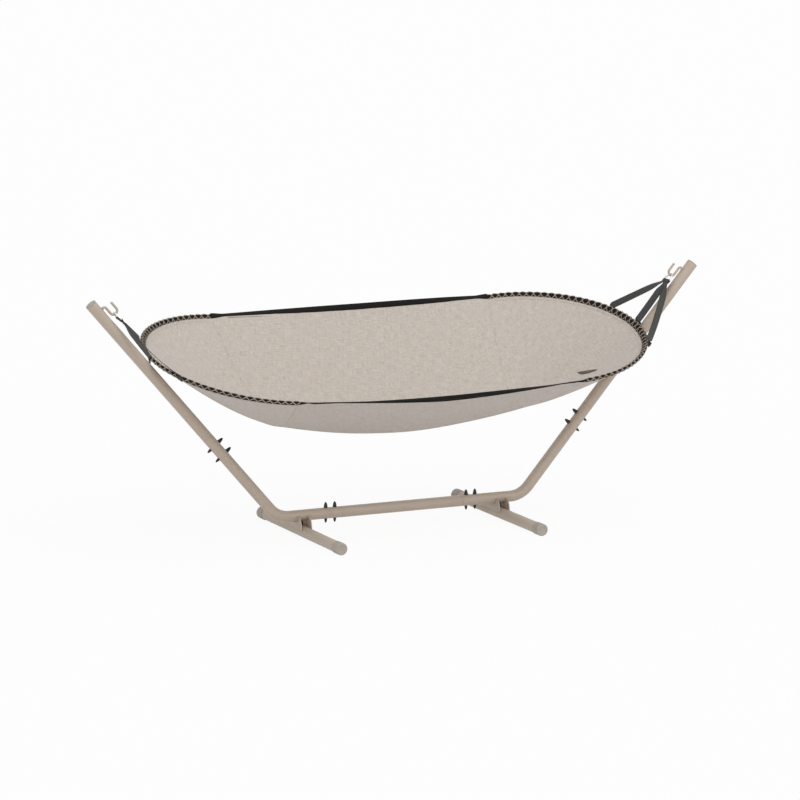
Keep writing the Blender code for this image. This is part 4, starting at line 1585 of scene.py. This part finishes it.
@dataclass
class Straps:
    """The six webbing straps, each looped and sewn round a ring's bar and led to the rim."""

    finish: RibbedWebbing
    thickness: float = 0.0022
    width_bar: float = 0.017
    width: float = 0.0300
    tail: float = 0.018
    lay: tuple[StrapLay, ...] = (
        StrapLay("back", math.radians(20), 0.0174, {Side.LEFT: 0.4, Side.RIGHT: 0.4}, 0.0),
        StrapLay("middle", math.radians(-2), 0.0, {Side.LEFT: 0.7, Side.RIGHT: 1.1}, 0.002),
        StrapLay("front", math.radians(-27), -0.0174, {Side.LEFT: 0.19, Side.RIGHT: 1.1}, 0.020),
    )
    reach: float = 0.0091
    grid: tuple[int, int] = (90, 6)
    loop_gap: float = 0.0004
    loop_run: float = 0.007
    loop_steps: int = 12
    run_steps: int = 12
    tuck: float = 0.0066
    turn_in: float = 0.35
    turn_out: float = 0.1
    turn_kept: float = 0.6

    def build(self, rings: Rings) -> None:
        """Makes all six straps.

        Args:
            rings: the rings that they loop round.
        """
        webbing = self.finish.build(self.width / 2)
        for side in Side:
            for lay in self.lay:
                strap = self.strap(side, lay, rings)
                node = f"strap_{lay.label}_{side.label}"
                deliver(strap, webbing, self.finish.slot, Body.HAMMOCK, node, sharp=40)

    def path(
        self, side: Side, lay: StrapLay, rings: Rings
    ) -> tuple[list[Vector], list[Vector], list[float]]:
        """Centre line of a strap, the direction of its width, and its width.

        Args:
            side: which end it is at.
            lay: how it runs.
            rings: the rings.

        Returns:
            Points, width directions and widths, one for each.
        """
        bar = HOOK.seat(side) + HOOK.pull(side) * rings.bar_drop + Y_AXIS * lay.bar_y
        centre, edge, face = RIM.bow(side, lay.angle)
        half = RIM.sleeve_half(lay.angle)
        end = centre + edge * (half + self.reach)
        run = end - bar
        down = Vector((run.x, 0, run.z)).normalized()
        square = facing(Y_AXIS.cross(down), Z_AXIS)
        radius = rings.wire_r + self.loop_gap + self.thickness / 2
        stack = square * 0.8 * self.thickness
        points = [bar + down * self.tail - stack]
        points.append(bar + down * self.loop_run - square * radius * 0.8)
        for step in range(self.loop_steps + 1):
            turn = math.pi * step / self.loop_steps
            points.append(bar - square * radius * math.cos(turn) - down * radius * math.sin(turn))
        points.append(bar + down * self.loop_run + square * radius * 0.8)
        looped = len(points)
        start = bar + down * self.tail + stack
        for step in range(self.run_steps + 1):
            share = step / self.run_steps
            points.append(start.lerp(end, share) - Z_AXIS * (4 * lay.slack * share * (1 - share)))
        under = RIM.sleeve_thick + self.tuck
        drop = [(half + self.reach - 0.002, -under * 0.55)]
        drop += [(half + 0.001, -under), (half - 0.012, -under)]
        points += [centre + edge * a + face * b for a, b in drop]
        tangent = facing(RIM.bow_tangent(side, lay.angle), Y_AXIS)
        upright = facing(run.cross(Y_AXIS).normalized(), Z_AXIS)
        across, widths = [], []
        for i in range(len(points)):
            share = min(max((i - looped) / self.run_steps, 0.0), 1.0)
            turn = lay.turns[side] * smooth_step(share / self.turn_in)
            left = smooth_step((1 - share) / self.turn_out)
            turn *= self.turn_kept + (1 - self.turn_kept) * left
            flat = Y_AXIS.lerp(tangent, share).normalized()
            across.append((flat * math.cos(turn) + upright * math.sin(turn)).normalized())
            widths.append(self.width_bar + (self.width - self.width_bar) * min(6 * share, 1.0))
        return points, across, widths

    def strap(self, side: Side, course: StrapLay, rings: Rings) -> Piece:
        """One strap, laid along its centre line."""
        points, across, widths = self.path(side, course, rings)
        lengths = lengths_along(points)

        def lay(u: float, v: float) -> Laid:
            """A vertex of the strap from its shares along and across."""
            spot = u * (len(points) - 1)
            i = min(int(spot), len(points) - 2)
            share = spot - i
            middle = smooth_point(points, i, share)
            wide = across[i].lerp(across[i + 1], share)
            direction = (points[i + 1] - points[i]).normalized()
            wide = (wide - direction * wide.dot(direction)).normalized()
            width = widths[i] + (widths[i + 1] - widths[i]) * share
            along = lengths[i] + (lengths[i + 1] - lengths[i]) * share
            return middle + wide * (width * (v - 0.5)), (self.width * (v - 0.5), along)

        name = f"webbing_strap_{course.label}_{side.label}"
        piece = Bench.woven(name, *self.grid, lay)
        Bench.thicken(piece, self.thickness)
        return piece


def smooth_point(points: Sequence[Vector], i: int, share: float) -> Vector:
    """A point on a smooth curve through points, a share of the way from one to the next."""
    before = points[max(i - 1, 0)]
    near, far = points[i], points[min(i + 1, len(points) - 1)]
    after = points[min(i + 2, len(points) - 1)]
    slack = min((near - before).length, (far - near).length, (after - far).length)
    if slack < 0.25 * (far - near).length:
        return near.lerp(far, share)
    a = (far - before) * 0.5
    b = (after - near) * 0.5
    s2, s3 = share**2, share**3
    return (
        near * (2 * s3 - 3 * s2 + 1)
        + a * (s3 - 2 * s2 + share)
        + far * (3 * s2 - 2 * s3)
        + b * (s3 - s2)
    )


@dataclass
class Bows:
    """Each end of the rim: the bent rod, its black sleeve and the crossed lacing."""

    steel: Material
    sleeve_cloth: Material
    cord: Material
    rod_r: float = 0.0045
    rod_limit: float = math.pi / 2 - math.radians(0.5)
    rod_grid: tuple[int, int] = (90, 12)
    sleeve_grid: tuple[int, int] = (200, 36)
    flange: float = 0.0080
    flange_thick: float = 0.0010
    flange_share: float = 0.16
    flange_lap: float = 0.0012
    boxy: float = 0.72
    inner: float = 0.003
    turns: int = 23
    turn_steps: int = 30
    cord_half: float = 0.0021
    cord_thick: float = 0.0018
    lift: float = 0.0011
    hump: float = 0.0022
    cord_sides: int = 8
    cord_girth: float = 0.012
    girth: float = 0.09

    def build(self) -> None:
        """Makes both bows."""
        for side in Side:
            self.rod(side)
            self.sleeve(side)
            for layer, hump, hand in (("under", 0.0, -1), ("over", self.hump, 1)):
                self.lacing(side, layer, hump, hand)

    def rod(self, side: Side) -> None:
        """The bent rod inside the sleeve."""

        def lay(u: float, v: float) -> Laid:
            """A vertex of the rod from its shares along and around."""
            angle = self.rod_limit * (2 * u - 1)
            centre, edge, face = RIM.bow(side, angle)
            turn = 2 * math.pi * v
            out = edge * math.cos(turn) + face * math.sin(turn)
            return centre + out * self.rod_r, (u, v)

        piece = Bench.woven(f"plated_end_bow_{side.label}", *self.rod_grid, lay, tube=True)
        node = f"end_bow_{side.label}"
        deliver(piece, self.steel, "zinc_plated_steel", Body.HAMMOCK, node, sharp=60)

    def boxed(self, turn: float, wide: float, high: float) -> Pair:
        """A point of a flattened oval at an angle round it, as (edge, face) distances."""
        a, b = math.cos(turn), math.sin(turn)
        wide += self.inner if a < 0 else 0
        return signed_power(a, self.boxy) * wide, signed_power(b, self.boxy) * high

    def outline(self, angle: float, share: float) -> Pair:
        """A point round the sleeve's section, as (edge, face) distances.

        Args:
            angle: the angle from the tip of the bow.
            share: how far round, starting and ending at the tip of the inner flange.

        Returns:
            The two distances from the bow's centre line.
        """
        half, thick, tail = RIM.sleeve_half(angle), RIM.sleeve_thick, self.flange_share
        if share < tail or share > 1 - tail:
            along = min(share, 1 - share) / tail
            way = 1 if share < 0.5 else -1
            reach = (self.flange + self.flange_lap) * along - (half + self.inner + self.flange)
            return reach, way * self.flange_thick * (0.5 + 0.5 * along)
        turn = math.pi * (1 - (share - tail) / (1 - 2 * tail) * 2)
        x, y = self.boxed(turn, half, thick)
        if abs(y) < self.flange_thick and x < 0:
            y = math.copysign(self.flange_thick, y if y else (0.5 - share))
        return x, y

    def sleeve(self, side: Side) -> None:
        """The black cloth sleeve, with the flange to which the bed is sewn."""

        def lay(u: float, v: float) -> Laid:
            """A vertex of the sleeve from its shares along and around."""
            angle = -math.pi / 2 + math.pi * u
            centre, edge, face = RIM.bow(side, angle)
            a, b = self.outline(angle, v % 1.0)
            return centre + edge * a + face * b, (v * self.girth, u * RIM.bow_length)

        piece = Bench.woven(f"black_sleeve_{side.label}", *self.sleeve_grid, lay, tube=True)
        node = f"edge_sleeve_{side.label}"
        deliver(piece, self.sleeve_cloth, "black_webbing", Body.HAMMOCK, node, sharp=60)

    def lace_point(
        self, side: Side, turn: float, hump: float, hand: int, strand: int
    ) -> tuple[Vector, Vector]:
        """A point of the lacing's centre line and the surface normal there.

        Args:
            side: which bow it is on.
            turn: how many turns along, from the front.
            hump: how far it rises where it passes over the other cord.
            hand: 1 to start at the outer edge over the top, -1 for the other cord.
            strand: 0 or 1, the two strands of a cord being half a turn apart.

        Returns:
            The point and the normal.
        """
        angle = math.pi * (turn / self.turns - 0.5)
        centre, edge, face = RIM.bow(side, angle)
        around = 2 * math.pi * hand * turn + math.pi * (strand + (hand < 0))
        lift = self.lift + hump * math.cos(2 * around) ** 4
        wide, high = RIM.sleeve_half(angle) + lift, RIM.sleeve_thick + lift
        x, y = self.boxed(around, wide, high)
        normal = edge * (x / wide**2) + face * (y / high**2)
        return centre + edge * x + face * y, normal.normalized()

    def lacing(self, side: Side, layer: str, hump: float, hand: int) -> None:
        """One of the two cords that cross round the sleeve, each wound there and back."""
        strands = [self.strand(side, layer, hump, hand, number) for number in range(2)]
        piece = strands[0]
        Bench.join(piece, strands[1])
        node = f"lacing_{layer}_{side.label}"
        deliver(piece, self.cord, "beige_cord", Body.HAMMOCK, node, sharp=70)

    def strand(self, side: Side, layer: str, hump: float, hand: int, number: int) -> Piece:
        """One strand of a cord, from the front end of a bow to its back end."""
        stops = [step / self.turn_steps for step in range(self.turns * self.turn_steps + 1)]
        line = [self.lace_point(side, stop, hump, hand, number) for stop in stops]
        lengths = lengths_along([point for point, _ in line])

        def lay(u: float, v: float) -> Laid:
            """A vertex of the cord from its shares along and around."""
            i = round(u * (len(line) - 1))
            point, normal = line[i]
            ahead, behind = line[min(i + 1, len(line) - 1)][0], line[max(i - 1, 0)][0]
            tangent = (ahead - behind).normalized()
            wide = tangent.cross(normal).normalized()
            out = facing(wide.cross(tangent).normalized(), normal)
            turn = 2 * math.pi * v
            offset = wide * (self.cord_half * math.cos(turn))
            offset += out * (self.cord_thick / 2 * math.sin(turn))
            return point + offset, (lengths[i], v * self.cord_girth)

        name = f"flat_lacing_{layer}_{side.label}"
        log.info("%s, strand %d: %.2f m of cord", name, number + 1, lengths[-1])
        return Bench.woven(name, len(line) - 1, self.cord_sides, lay, tube=True)


@dataclass
class SideBands:
    """The folded black webbing along the two straight sides."""

    cloth: Material
    crease: float = 0.0030
    thickness: float = 0.0022
    swell: float = 0.0032
    wave: float = 0.0006
    wave_scale: float = 14
    end_gap: float = 0.002
    grid: tuple[int, int] = (160, 8)

    def build(self) -> None:
        """Makes both bands."""
        for end in End:
            self.band(end)

    def band(self, end: End) -> None:
        """One band, bowed across its width, with soft dips along its length."""
        half = RIM.side_half - self.end_gap

        def lay(u: float, v: float) -> Laid:
            """A vertex of the band from its shares along and across."""
            x = -half + 2 * half * u
            centre, edge, face = RIM.long_side(end, x)
            a = (RIM.webbing_half + self.swell * (1 - (x / half) ** 2)) * (2 * v - 1)
            hump = self.crease * math.cos(math.pi / 2 * (2 * v - 1)) ** 2
            wave = self.wave * noise.noise(Vector((x * self.wave_scale, end.value, 0)))
            return centre + edge * a + face * (hump - self.crease / 2 + wave), (a, x)

        piece = Bench.woven(f"folded_side_band_{end.label}", *self.grid, lay)
        Bench.thicken(piece, self.thickness)
        node = f"side_webbing_{end.label}"
        deliver(piece, self.cloth, "black_webbing", Body.HAMMOCK, node, sharp=50)


@dataclass(frozen=True)
class Crease:
    """A soft drag line in the cloth, from one (x, y) place to another."""

    start: Pair
    end: Pair
    height: float
    width: float = 0.012
    fade: float = 0.15

    def lift(self, x: float, y: float) -> float:
        """How far it raises the cloth at a place."""
        way = (self.end[0] - self.start[0], self.end[1] - self.start[1])
        span = way[0] ** 2 + way[1] ** 2
        along = ((x - self.start[0]) * way[0] + (y - self.start[1]) * way[1]) / span
        off = ((x - self.start[0]) * way[1] - (y - self.start[1]) * way[0]) / math.sqrt(span)
        reach = smooth_step((along + self.fade) / (2 * self.fade))
        reach *= smooth_step((1 + self.fade - along) / (2 * self.fade))
        return self.height * reach * math.exp(-((off / self.width) ** 2))


@dataclass
class BedCloth:
    """The bed in three panels, sewn together at two cross seams and hung from the rim."""

    cloth: Material
    tape: Material
    thickness: float = 0.0016
    hem_bow: float = 0.0078
    hem_side: float = -0.004
    seam_x: float = 0.584
    seam_gap: float = 0.0002
    shift: float = -0.035
    depth_middle: float = 0.378
    depth_seam: float = 0.308
    keel_power: float = 1.86
    front_power: float = 1.40
    back_power: float = 1.60
    tip_power: float = 1.31
    folds: int = 9
    fold_depth: float = 0.004
    rise: float = 0.0022
    flat_centre: Pair = (1.39, 1.28)
    flat_end: Pair = (0.66, 1.28)
    seam_half: float = 0.0065
    seam_thick: float = 0.0013
    hem_turn: float = 0.60
    hem_drop: float = 0.0022
    hem_width: float = 0.014
    hem_rise: float = 0.0014
    hem_thick: float = 0.0011
    hem_limit: float = math.radians(88)
    seam_steps: int = 160
    seam_start: float = 0.012
    ripple: float = 0.0022
    ripple_scale: float = 3.2
    hang_steps: int = 8
    seam_sides: int = 12
    hem_grid: tuple[int, int] = (150, 4)
    centre_grid: tuple[int, int] = (120, 120)
    end_grid: tuple[int, int] = (144, 56)
    creases: tuple[Crease, ...] = (
        Crease((0.836, 0.281), (0.706, 0.247), 0.0035),
        Crease((1.091, 0.125), (0.951, 0.182), 0.0030),
        Crease((1.102, 0.046), (0.936, 0.123), 0.0035),
        Crease((0.244, 0.373), (0.406, 0.375), 0.0025),
        Crease((-0.655, 0.470), (-0.575, 0.150), 0.0050, 0.016),
        Crease((-0.700, 0.380), (-0.640, 0.080), -0.0035, 0.018),
        Crease((-0.520, -0.330), (-0.330, -0.250), 0.0025, 0.016),
        Crease((0.640, -0.300), (0.520, -0.140), 0.0030, 0.016),
    )

    def keel(self, x: float) -> Vector:
        """The lowest line of the bed, deepest in the middle."""
        share = abs(x / self.seam_x) ** self.keel_power
        drop = self.depth_middle - (self.depth_middle - self.depth_seam) * share
        return Vector((RIM.centre.x + x, RIM.centre.y + self.shift, RIM.centre.z - drop))

    def side_hem(self, end: End, x: float) -> Vector:
        """Where the cloth ends on a straight side: under the band, and clear of it at the bows."""
        centre, edge, face = RIM.long_side(end, x)
        near = smooth_step((abs(x) - self.hem_turn) / (RIM.side_half - self.hem_turn))
        bow = RIM.sleeve_half(math.pi / 2) + self.hem_bow
        offset = (RIM.webbing_half + self.hem_side) * (1 - near) + bow * near
        return centre - edge * offset - face * (self.hem_drop * (1 - near))

    def bow_hem(self, side: Side, angle: float) -> Vector:
        """Where the cloth ends on a bow, sewn over the sleeve's flange."""
        centre, edge, _ = RIM.bow(side, angle)
        return centre - edge * (RIM.sleeve_half(angle) + self.hem_bow)

    def hang(self, foot: Vector, hem: Vector, share: float, power: float) -> Laid:
        """A point of the cloth and its flat coordinates.

        Args:
            foot: the point of the keel that it hangs down to.
            hem: the point of the rim that it hangs from.
            share: how far it is from the keel to the hem.
            power: how hollow that line is.

        Returns:
            The point, and where it lies on the flat cloth.
        """
        run = math.hypot(hem.x - foot.x, hem.y - foot.y)
        rise = hem.z - foot.z
        point = foot.lerp(hem, share)
        slope = power * share ** (power - 1) * rise / run if share > 0 else 0.0
        point.z = foot.z + rise * share**power + self.rise * math.hypot(1, slope)
        length = 0.0
        for step in range(self.hang_steps):
            near, far = share * step / self.hang_steps, share * (step + 1) / self.hang_steps
            length += math.hypot(run * (far - near), rise * (far**power - near**power))
        way = ((hem.x - foot.x) / run, (hem.y - foot.y) / run)
        return point, (foot.x + way[0] * length, way[1] * length)

    def bow_power(self, angle: float) -> float:
        """How hollow an end panel hangs towards an angle from the tip of its bow."""
        side_power = self.front_power if angle < 0 else self.back_power
        return side_power + (self.tip_power - side_power) * math.cos(angle)

    def drag(self, point: Vector, free: float) -> float:
        """How far the drag lines raise a point of the cloth.

        Args:
            point: the point.
            free: how far it is from the hem, as a share of the way to the keel.

        Returns:
            The rise, which fades out towards the hem.
        """
        return sum(crease.lift(point.x, point.y) for crease in self.creases) * min(1.0, 6 * free)

    def seam_point(self, side: Side, share: float) -> Vector:
        """A point of a cross seam, from the front hem over the keel to the back hem."""
        run = 2 * share - 1
        end, power = (End.FRONT, self.front_power) if run < 0 else (End.BACK, self.back_power)
        foot = self.keel(side.value * self.seam_x)
        hem = self.side_hem(end, side.value * RIM.side_half)
        point, _ = self.hang(foot, hem, abs(run), power)
        point.z += self.drag(point, 1 - abs(run))
        return point

    def seam(self, side: Side) -> Piece:
        """The felled seam that joins two panels, a flat strip that shows on both faces."""
        first, steps = self.seam_start, self.seam_steps
        last = 1 - first
        line = [self.seam_point(side, first + (last - first) * i / steps) for i in range(steps + 1)]
        lengths = lengths_along(line)

        def lay(u: float, v: float) -> Laid:
            """A vertex of the strip from its shares along and around."""
            i = round(u * steps)
            tangent = (line[min(i + 1, steps)] - line[max(i - 1, 0)]).normalized()
            wide = (X_AXIS - tangent * tangent.x).normalized()
            out = wide.cross(tangent)
            turn = 2 * math.pi * v
            a = signed_power(math.cos(turn), 0.5) * self.seam_half
            b = signed_power(math.sin(turn), 0.5) * self.seam_thick
            return line[i] + wide * a + out * b, (a, lengths[i])

        piece = Bench.woven(f"felled_seam_{side.label}", steps, self.seam_sides, lay, tube=True)
        return deliver(piece, self.tape, "beige_cloth", Body.HAMMOCK, sharp=60)

    def hem(self, side: Side) -> Piece:
        """The turned hem along a bow, lying double on the inner face of the cloth."""
        foot = self.keel(side.value * self.seam_x)

        def lay(u: float, v: float) -> Laid:
            """A vertex of the hem from its shares along the bow and in from the edge."""
            angle = self.hem_limit * (2 * u - 1)
            power = self.bow_power(angle)
            edge = self.bow_hem(side, angle)
            step = self.hem_width / (edge - foot).length
            near, _ = self.hang(foot, edge, 1 - step * (v + 0.02), power)
            ahead = RIM.bow_tangent(side, angle)
            inwards = (near - edge).normalized() if v > 0 else (foot - edge).normalized()
            out = facing(ahead.cross(inwards).normalized(), Z_AXIS)
            near.x += side.value * self.seam_gap
            across = self.hem_width * (v - 0.5)
            return near + out * self.hem_rise, (across, RIM.bow_length * u)

        piece = Bench.woven(f"turned_hem_{side.label}", *self.hem_grid, lay)
        Bench.thicken(piece, self.hem_thick)
        return deliver(piece, self.tape, "beige_cloth", Body.HAMMOCK, sharp=60)

    def centre_panel(self) -> None:
        """The middle panel, between the two cross seams."""

        def lay(u: float, v: float) -> Laid:
            """A vertex of the panel from its shares along and across the bed."""
            run = 2 * u - 1
            foot = self.keel(run * self.seam_x)
            end = End.FRONT if v < 0.5 else End.BACK
            hem = self.side_hem(end, run * RIM.side_half)
            power = self.front_power if v < 0.5 else self.back_power
            point, flat = self.hang(foot, hem, abs(2 * v - 1), power)
            point.x -= self.seam_gap * run
            scale, free = self.ripple_scale, 1 - abs(2 * v - 1)
            ripple = noise.noise(Vector((flat[0] * scale, flat[1] * scale, 1.7)))
            point.z += self.ripple * ripple * min(1.0, 6 * free) * (1 - run**8)
            point.z += self.drag(point, free)
            return point, flat

        piece = Bench.woven("bed_cloth_centre", *self.centre_grid, lay)
        Bench.thicken(piece, self.thickness)
        deliver(piece, self.cloth, "beige_cloth", Body.HAMMOCK, "bed_panel_centre", sharp=60)
        [self.seam(side) for side in Side]

    def end_panel(self, side: Side) -> Piece:
        """A fan-shaped end panel, with shallow folds that spread from its foot."""

        def lay(u: float, v: float) -> Laid:
            """A vertex of the panel from its shares round the bow and up from the keel."""
            angle = -math.pi / 2 + math.pi * u
            foot, hem = self.keel(side.value * self.seam_x), self.bow_hem(side, angle)
            point, flat = self.hang(foot, hem, v, self.bow_power(angle))
            point.x += side.value * self.seam_gap
            fan = math.sin(self.folds * angle) * math.sin(math.pi * v) ** 2 * math.cos(angle)
            point.z += self.fold_depth * fan
            point.z += self.drag(point, 1 - v)
            return point, flat

        piece = Bench.woven(f"bed_cloth_{side.label}", *self.end_grid, lay)
        with Bench.editing(piece):
            bpy.ops.mesh.select_all(action="SELECT")
            bpy.ops.mesh.remove_doubles(threshold=MERGE)
        Bench.thicken(piece, self.thickness)
        node = f"bed_panel_{side.label}"
        deliver(piece, self.cloth, "beige_cloth", Body.HAMMOCK, node, sharp=60)
        0.7 * self.flat_end[0] * self.flat_end[1]
        self.hem(side)
        return piece

    def build(self) -> dict[Side, Piece]:
        """Makes the three panels.

        Returns:
            The two end panels.
        """
        self.centre_panel()
        return {side: self.end_panel(side) for side in Side}


@dataclass
class LeatherPatch:
    """The bare leather patch sewn inside the bed, on its right end panel towards the front."""

    leather: Material
    middle: Pair = (0.906, -0.063)
    along: Vector = field(default_factory=lambda: Vector((0.388, -0.898, 0)).normalized())
    length: float = 0.112
    height: float = 0.023
    proud: float = 0.0017
    thickness: float = 0.0016
    bulge: float = 0.0012
    corner: Pair = (1.04, 0.8)
    above: float = 1.2
    grid: tuple[int, int] = (28, 8)

    def build(self, panel: Piece) -> None:
        """Lays the patch on the cloth.

        Args:
            panel: the end panel that it is sewn to.
        """
        beside = Z_AXIS.cross(self.along)
        middle = Vector((*self.middle, 0))

        def lay(u: float, v: float) -> Laid:
            """A vertex of the patch from its shares along and across."""
            a, b = 2 * u - 1, 2 * v - 1
            width = self.height / 2 * (self.corner[0] - a * a) ** self.corner[1]
            x, y = self.length / 2 * a, width * b
            place = middle + self.along * x + beside * y
            above = Vector((place.x, place.y + STAND.plane_y, self.above))
            _, hit, normal, _ = panel.ray_cast(above, -Z_AXIS)
            rise = self.proud + self.bulge * (1 - b * b)
            return hit - Y_AXIS * STAND.plane_y + normal * rise, (x, y)

        patch = Bench.woven("bare_leather_patch", *self.grid, lay)
        Bench.thicken(patch, self.thickness)
        deliver(patch, self.leather, "beige_cord", Body.HAMMOCK, sharp=50)


@dataclass(frozen=True)
class Lamp:
    """A wide, soft lamp: the direction it comes from, its strength and its angle in degrees."""

    name: str
    way: tuple[float, float, float]
    power: float
    width: float


@dataclass
class Studio:
    """Camera, pale floor and soft plain light."""

    azimuth: float = math.radians(-24.76)
    elevation: float = math.radians(10.106)
    lens: float = 198.44
    distance: float = 19.8447
    shift_right: float = -0.00335
    shift_up: float = 0.57155
    sensor: float = 36.0
    clip: float = 200.0
    ambient: float = 0.62
    floor_size: float = 160.0
    floor_white: float = 0.93
    floor_roughness: float = 0.9
    floor_paint: Colour = (0.86, 0.86, 0.86)
    lamps: tuple[Lamp, ...] = (
        Lamp("key", (0.35, -0.55, 1.0), 0.78, 50),
        Lamp("fill", (-0.45, -0.9, 0.30), 0.55, 80),
    )

    def camera(self) -> None:
        """A long lens at the photograph's angle."""
        a, e = self.azimuth, self.elevation
        back = Vector((math.sin(a) * math.cos(e), -math.cos(a) * math.cos(e), math.sin(e)))
        right = Vector((math.cos(a), math.sin(a), 0))
        up = back.cross(right)
        data = bpy.data.cameras.new("long_lens")
        data.lens = self.lens
        data.sensor_width = self.sensor
        data.clip_end = self.clip
        eye = bpy.data.objects.new("long_lens", data)
        place = back * self.distance + right * self.shift_right + up * self.shift_up
        place += Vector((0, STAND.plane_y, 0))
        basis = Matrix((right, up, back)).transposed().to_4x4()
        eye.matrix_world = Matrix.Translation(place) @ basis
        bpy.context.scene.collection.objects.link(eye)
        bpy.context.scene.camera = eye

    def seen_directly(self, tree: bpy.types.NodeTree) -> Socket:
        """A factor that is 1 for camera, glossy and transmission rays, and 0 for others."""
        rays = add_node(tree, "ShaderNodeLightPath").outputs
        total = rays["Is Camera Ray"]
        for name in ("Is Glossy Ray", "Is Transmission Ray"):
            either = {0: total, 1: rays[name]}
            total = add_node(tree, "ShaderNodeMath", {"operation": "MAXIMUM"}, either).outputs[0]
        return total

    def floor(self) -> None:
        """A wide pale floor that keeps a soft shadow."""
        size = {"size": self.floor_size, "location": ORIGIN}
        plane = Bench.start("studio_floor", bpy.ops.mesh.primitive_plane_add, **size)
        graph = Graph("studio_floor_paint", self.floor_paint, self.floor_roughness)
        factors = {0: self.seen_directly(graph.tree), 1: self.floor_white}
        share = graph.node("ShaderNodeMath", {"operation": "MULTIPLY"}, factors).outputs[0]
        glow = graph.node("ShaderNodeEmission").outputs[0]
        shaders = {0: share, 1: graph.shader.outputs[0], 2: glow}
        mix = graph.node("ShaderNodeMixShader", None, shaders).outputs[0]
        graph.tree.links.new(mix, graph.tree.nodes["Material Output"].inputs["Surface"])
        plane.data.materials.append(graph.material)

    def light(self) -> None:
        """An even white world and two wide, soft lamps."""
        world = bpy.data.worlds.new("studio")
        bpy.context.scene.world = world
        world.use_nodes = True
        tree = world.node_tree
        background = tree.nodes["Background"]
        background.inputs["Color"].default_value = WHITE
        levels = {"Value": self.seen_directly(tree), "To Min": self.ambient, "To Max": 1.0}
        strength = add_node(tree, "ShaderNodeMapRange", None, levels)
        tree.links.new(strength.outputs["Result"], background.inputs["Strength"])
        for lamp in self.lamps:
            data = bpy.data.lights.new(lamp.name, "SUN")
            data.energy = lamp.power
            data.angle = math.radians(lamp.width)
            sun = bpy.data.objects.new(lamp.name, data)
            sun.rotation_euler = Vector(lamp.way).to_track_quat("Z", "Y").to_euler()
            bpy.context.scene.collection.objects.link(sun)

    def build(self) -> None:
        """Sets up the whole studio."""
        self.camera()
        self.floor()
        self.light()
        bpy.context.scene.view_settings.view_transform = "Standard"


def main() -> None:
    """Builds every sub-assembly in order."""
    Studio().build()
    coat = PowderCoat().build()
    pale_plastic = MouldedPlastic("taupe_cap_plastic", (0.41, 0.37, 0.32), 0.55).build()
    black_plastic = MouldedPlastic("black_bush_plastic", (0.012, 0.011, 0.010), 0.5).build()
    black_cap = MouldedPlastic("black_cap_coat", (0.006, 0.0055, 0.005), 0.5).build()
    zinc = BareSteel("zinc_plate", (0.62, 0.62, 0.60), 0.36).build()
    chrome = BareSteel("polished_steel_wire", (0.80, 0.80, 0.79), 0.16).build()
    webbing = RibbedWebbing("charcoal_webbing", "charcoal_webbing", (0.072, 0.073, 0.068))
    sleeve_cloth = SleeveCloth().build()
    cord = BraidedCord().build()
    cloth = MelangeCloth().build()
    leather = Leather().build()

    SpineTubes(coat, pale_plastic).build()
    SpliceFasteners(black_cap).build()
    Feet(coat, pale_plastic, black_plastic, zinc).build()
    Hooks(coat).build()
    rings = Rings(chrome)
    rings.build()
    Straps(webbing).build(rings)
    Bows(zinc, sleeve_cloth, cord).build()
    SideBands(sleeve_cloth).build()
    panels = BedCloth(cloth, SewnTape().build()).build()
    LeatherPatch(leather).build(panels[Side.RIGHT])


if __name__ == "__main__":
    main()
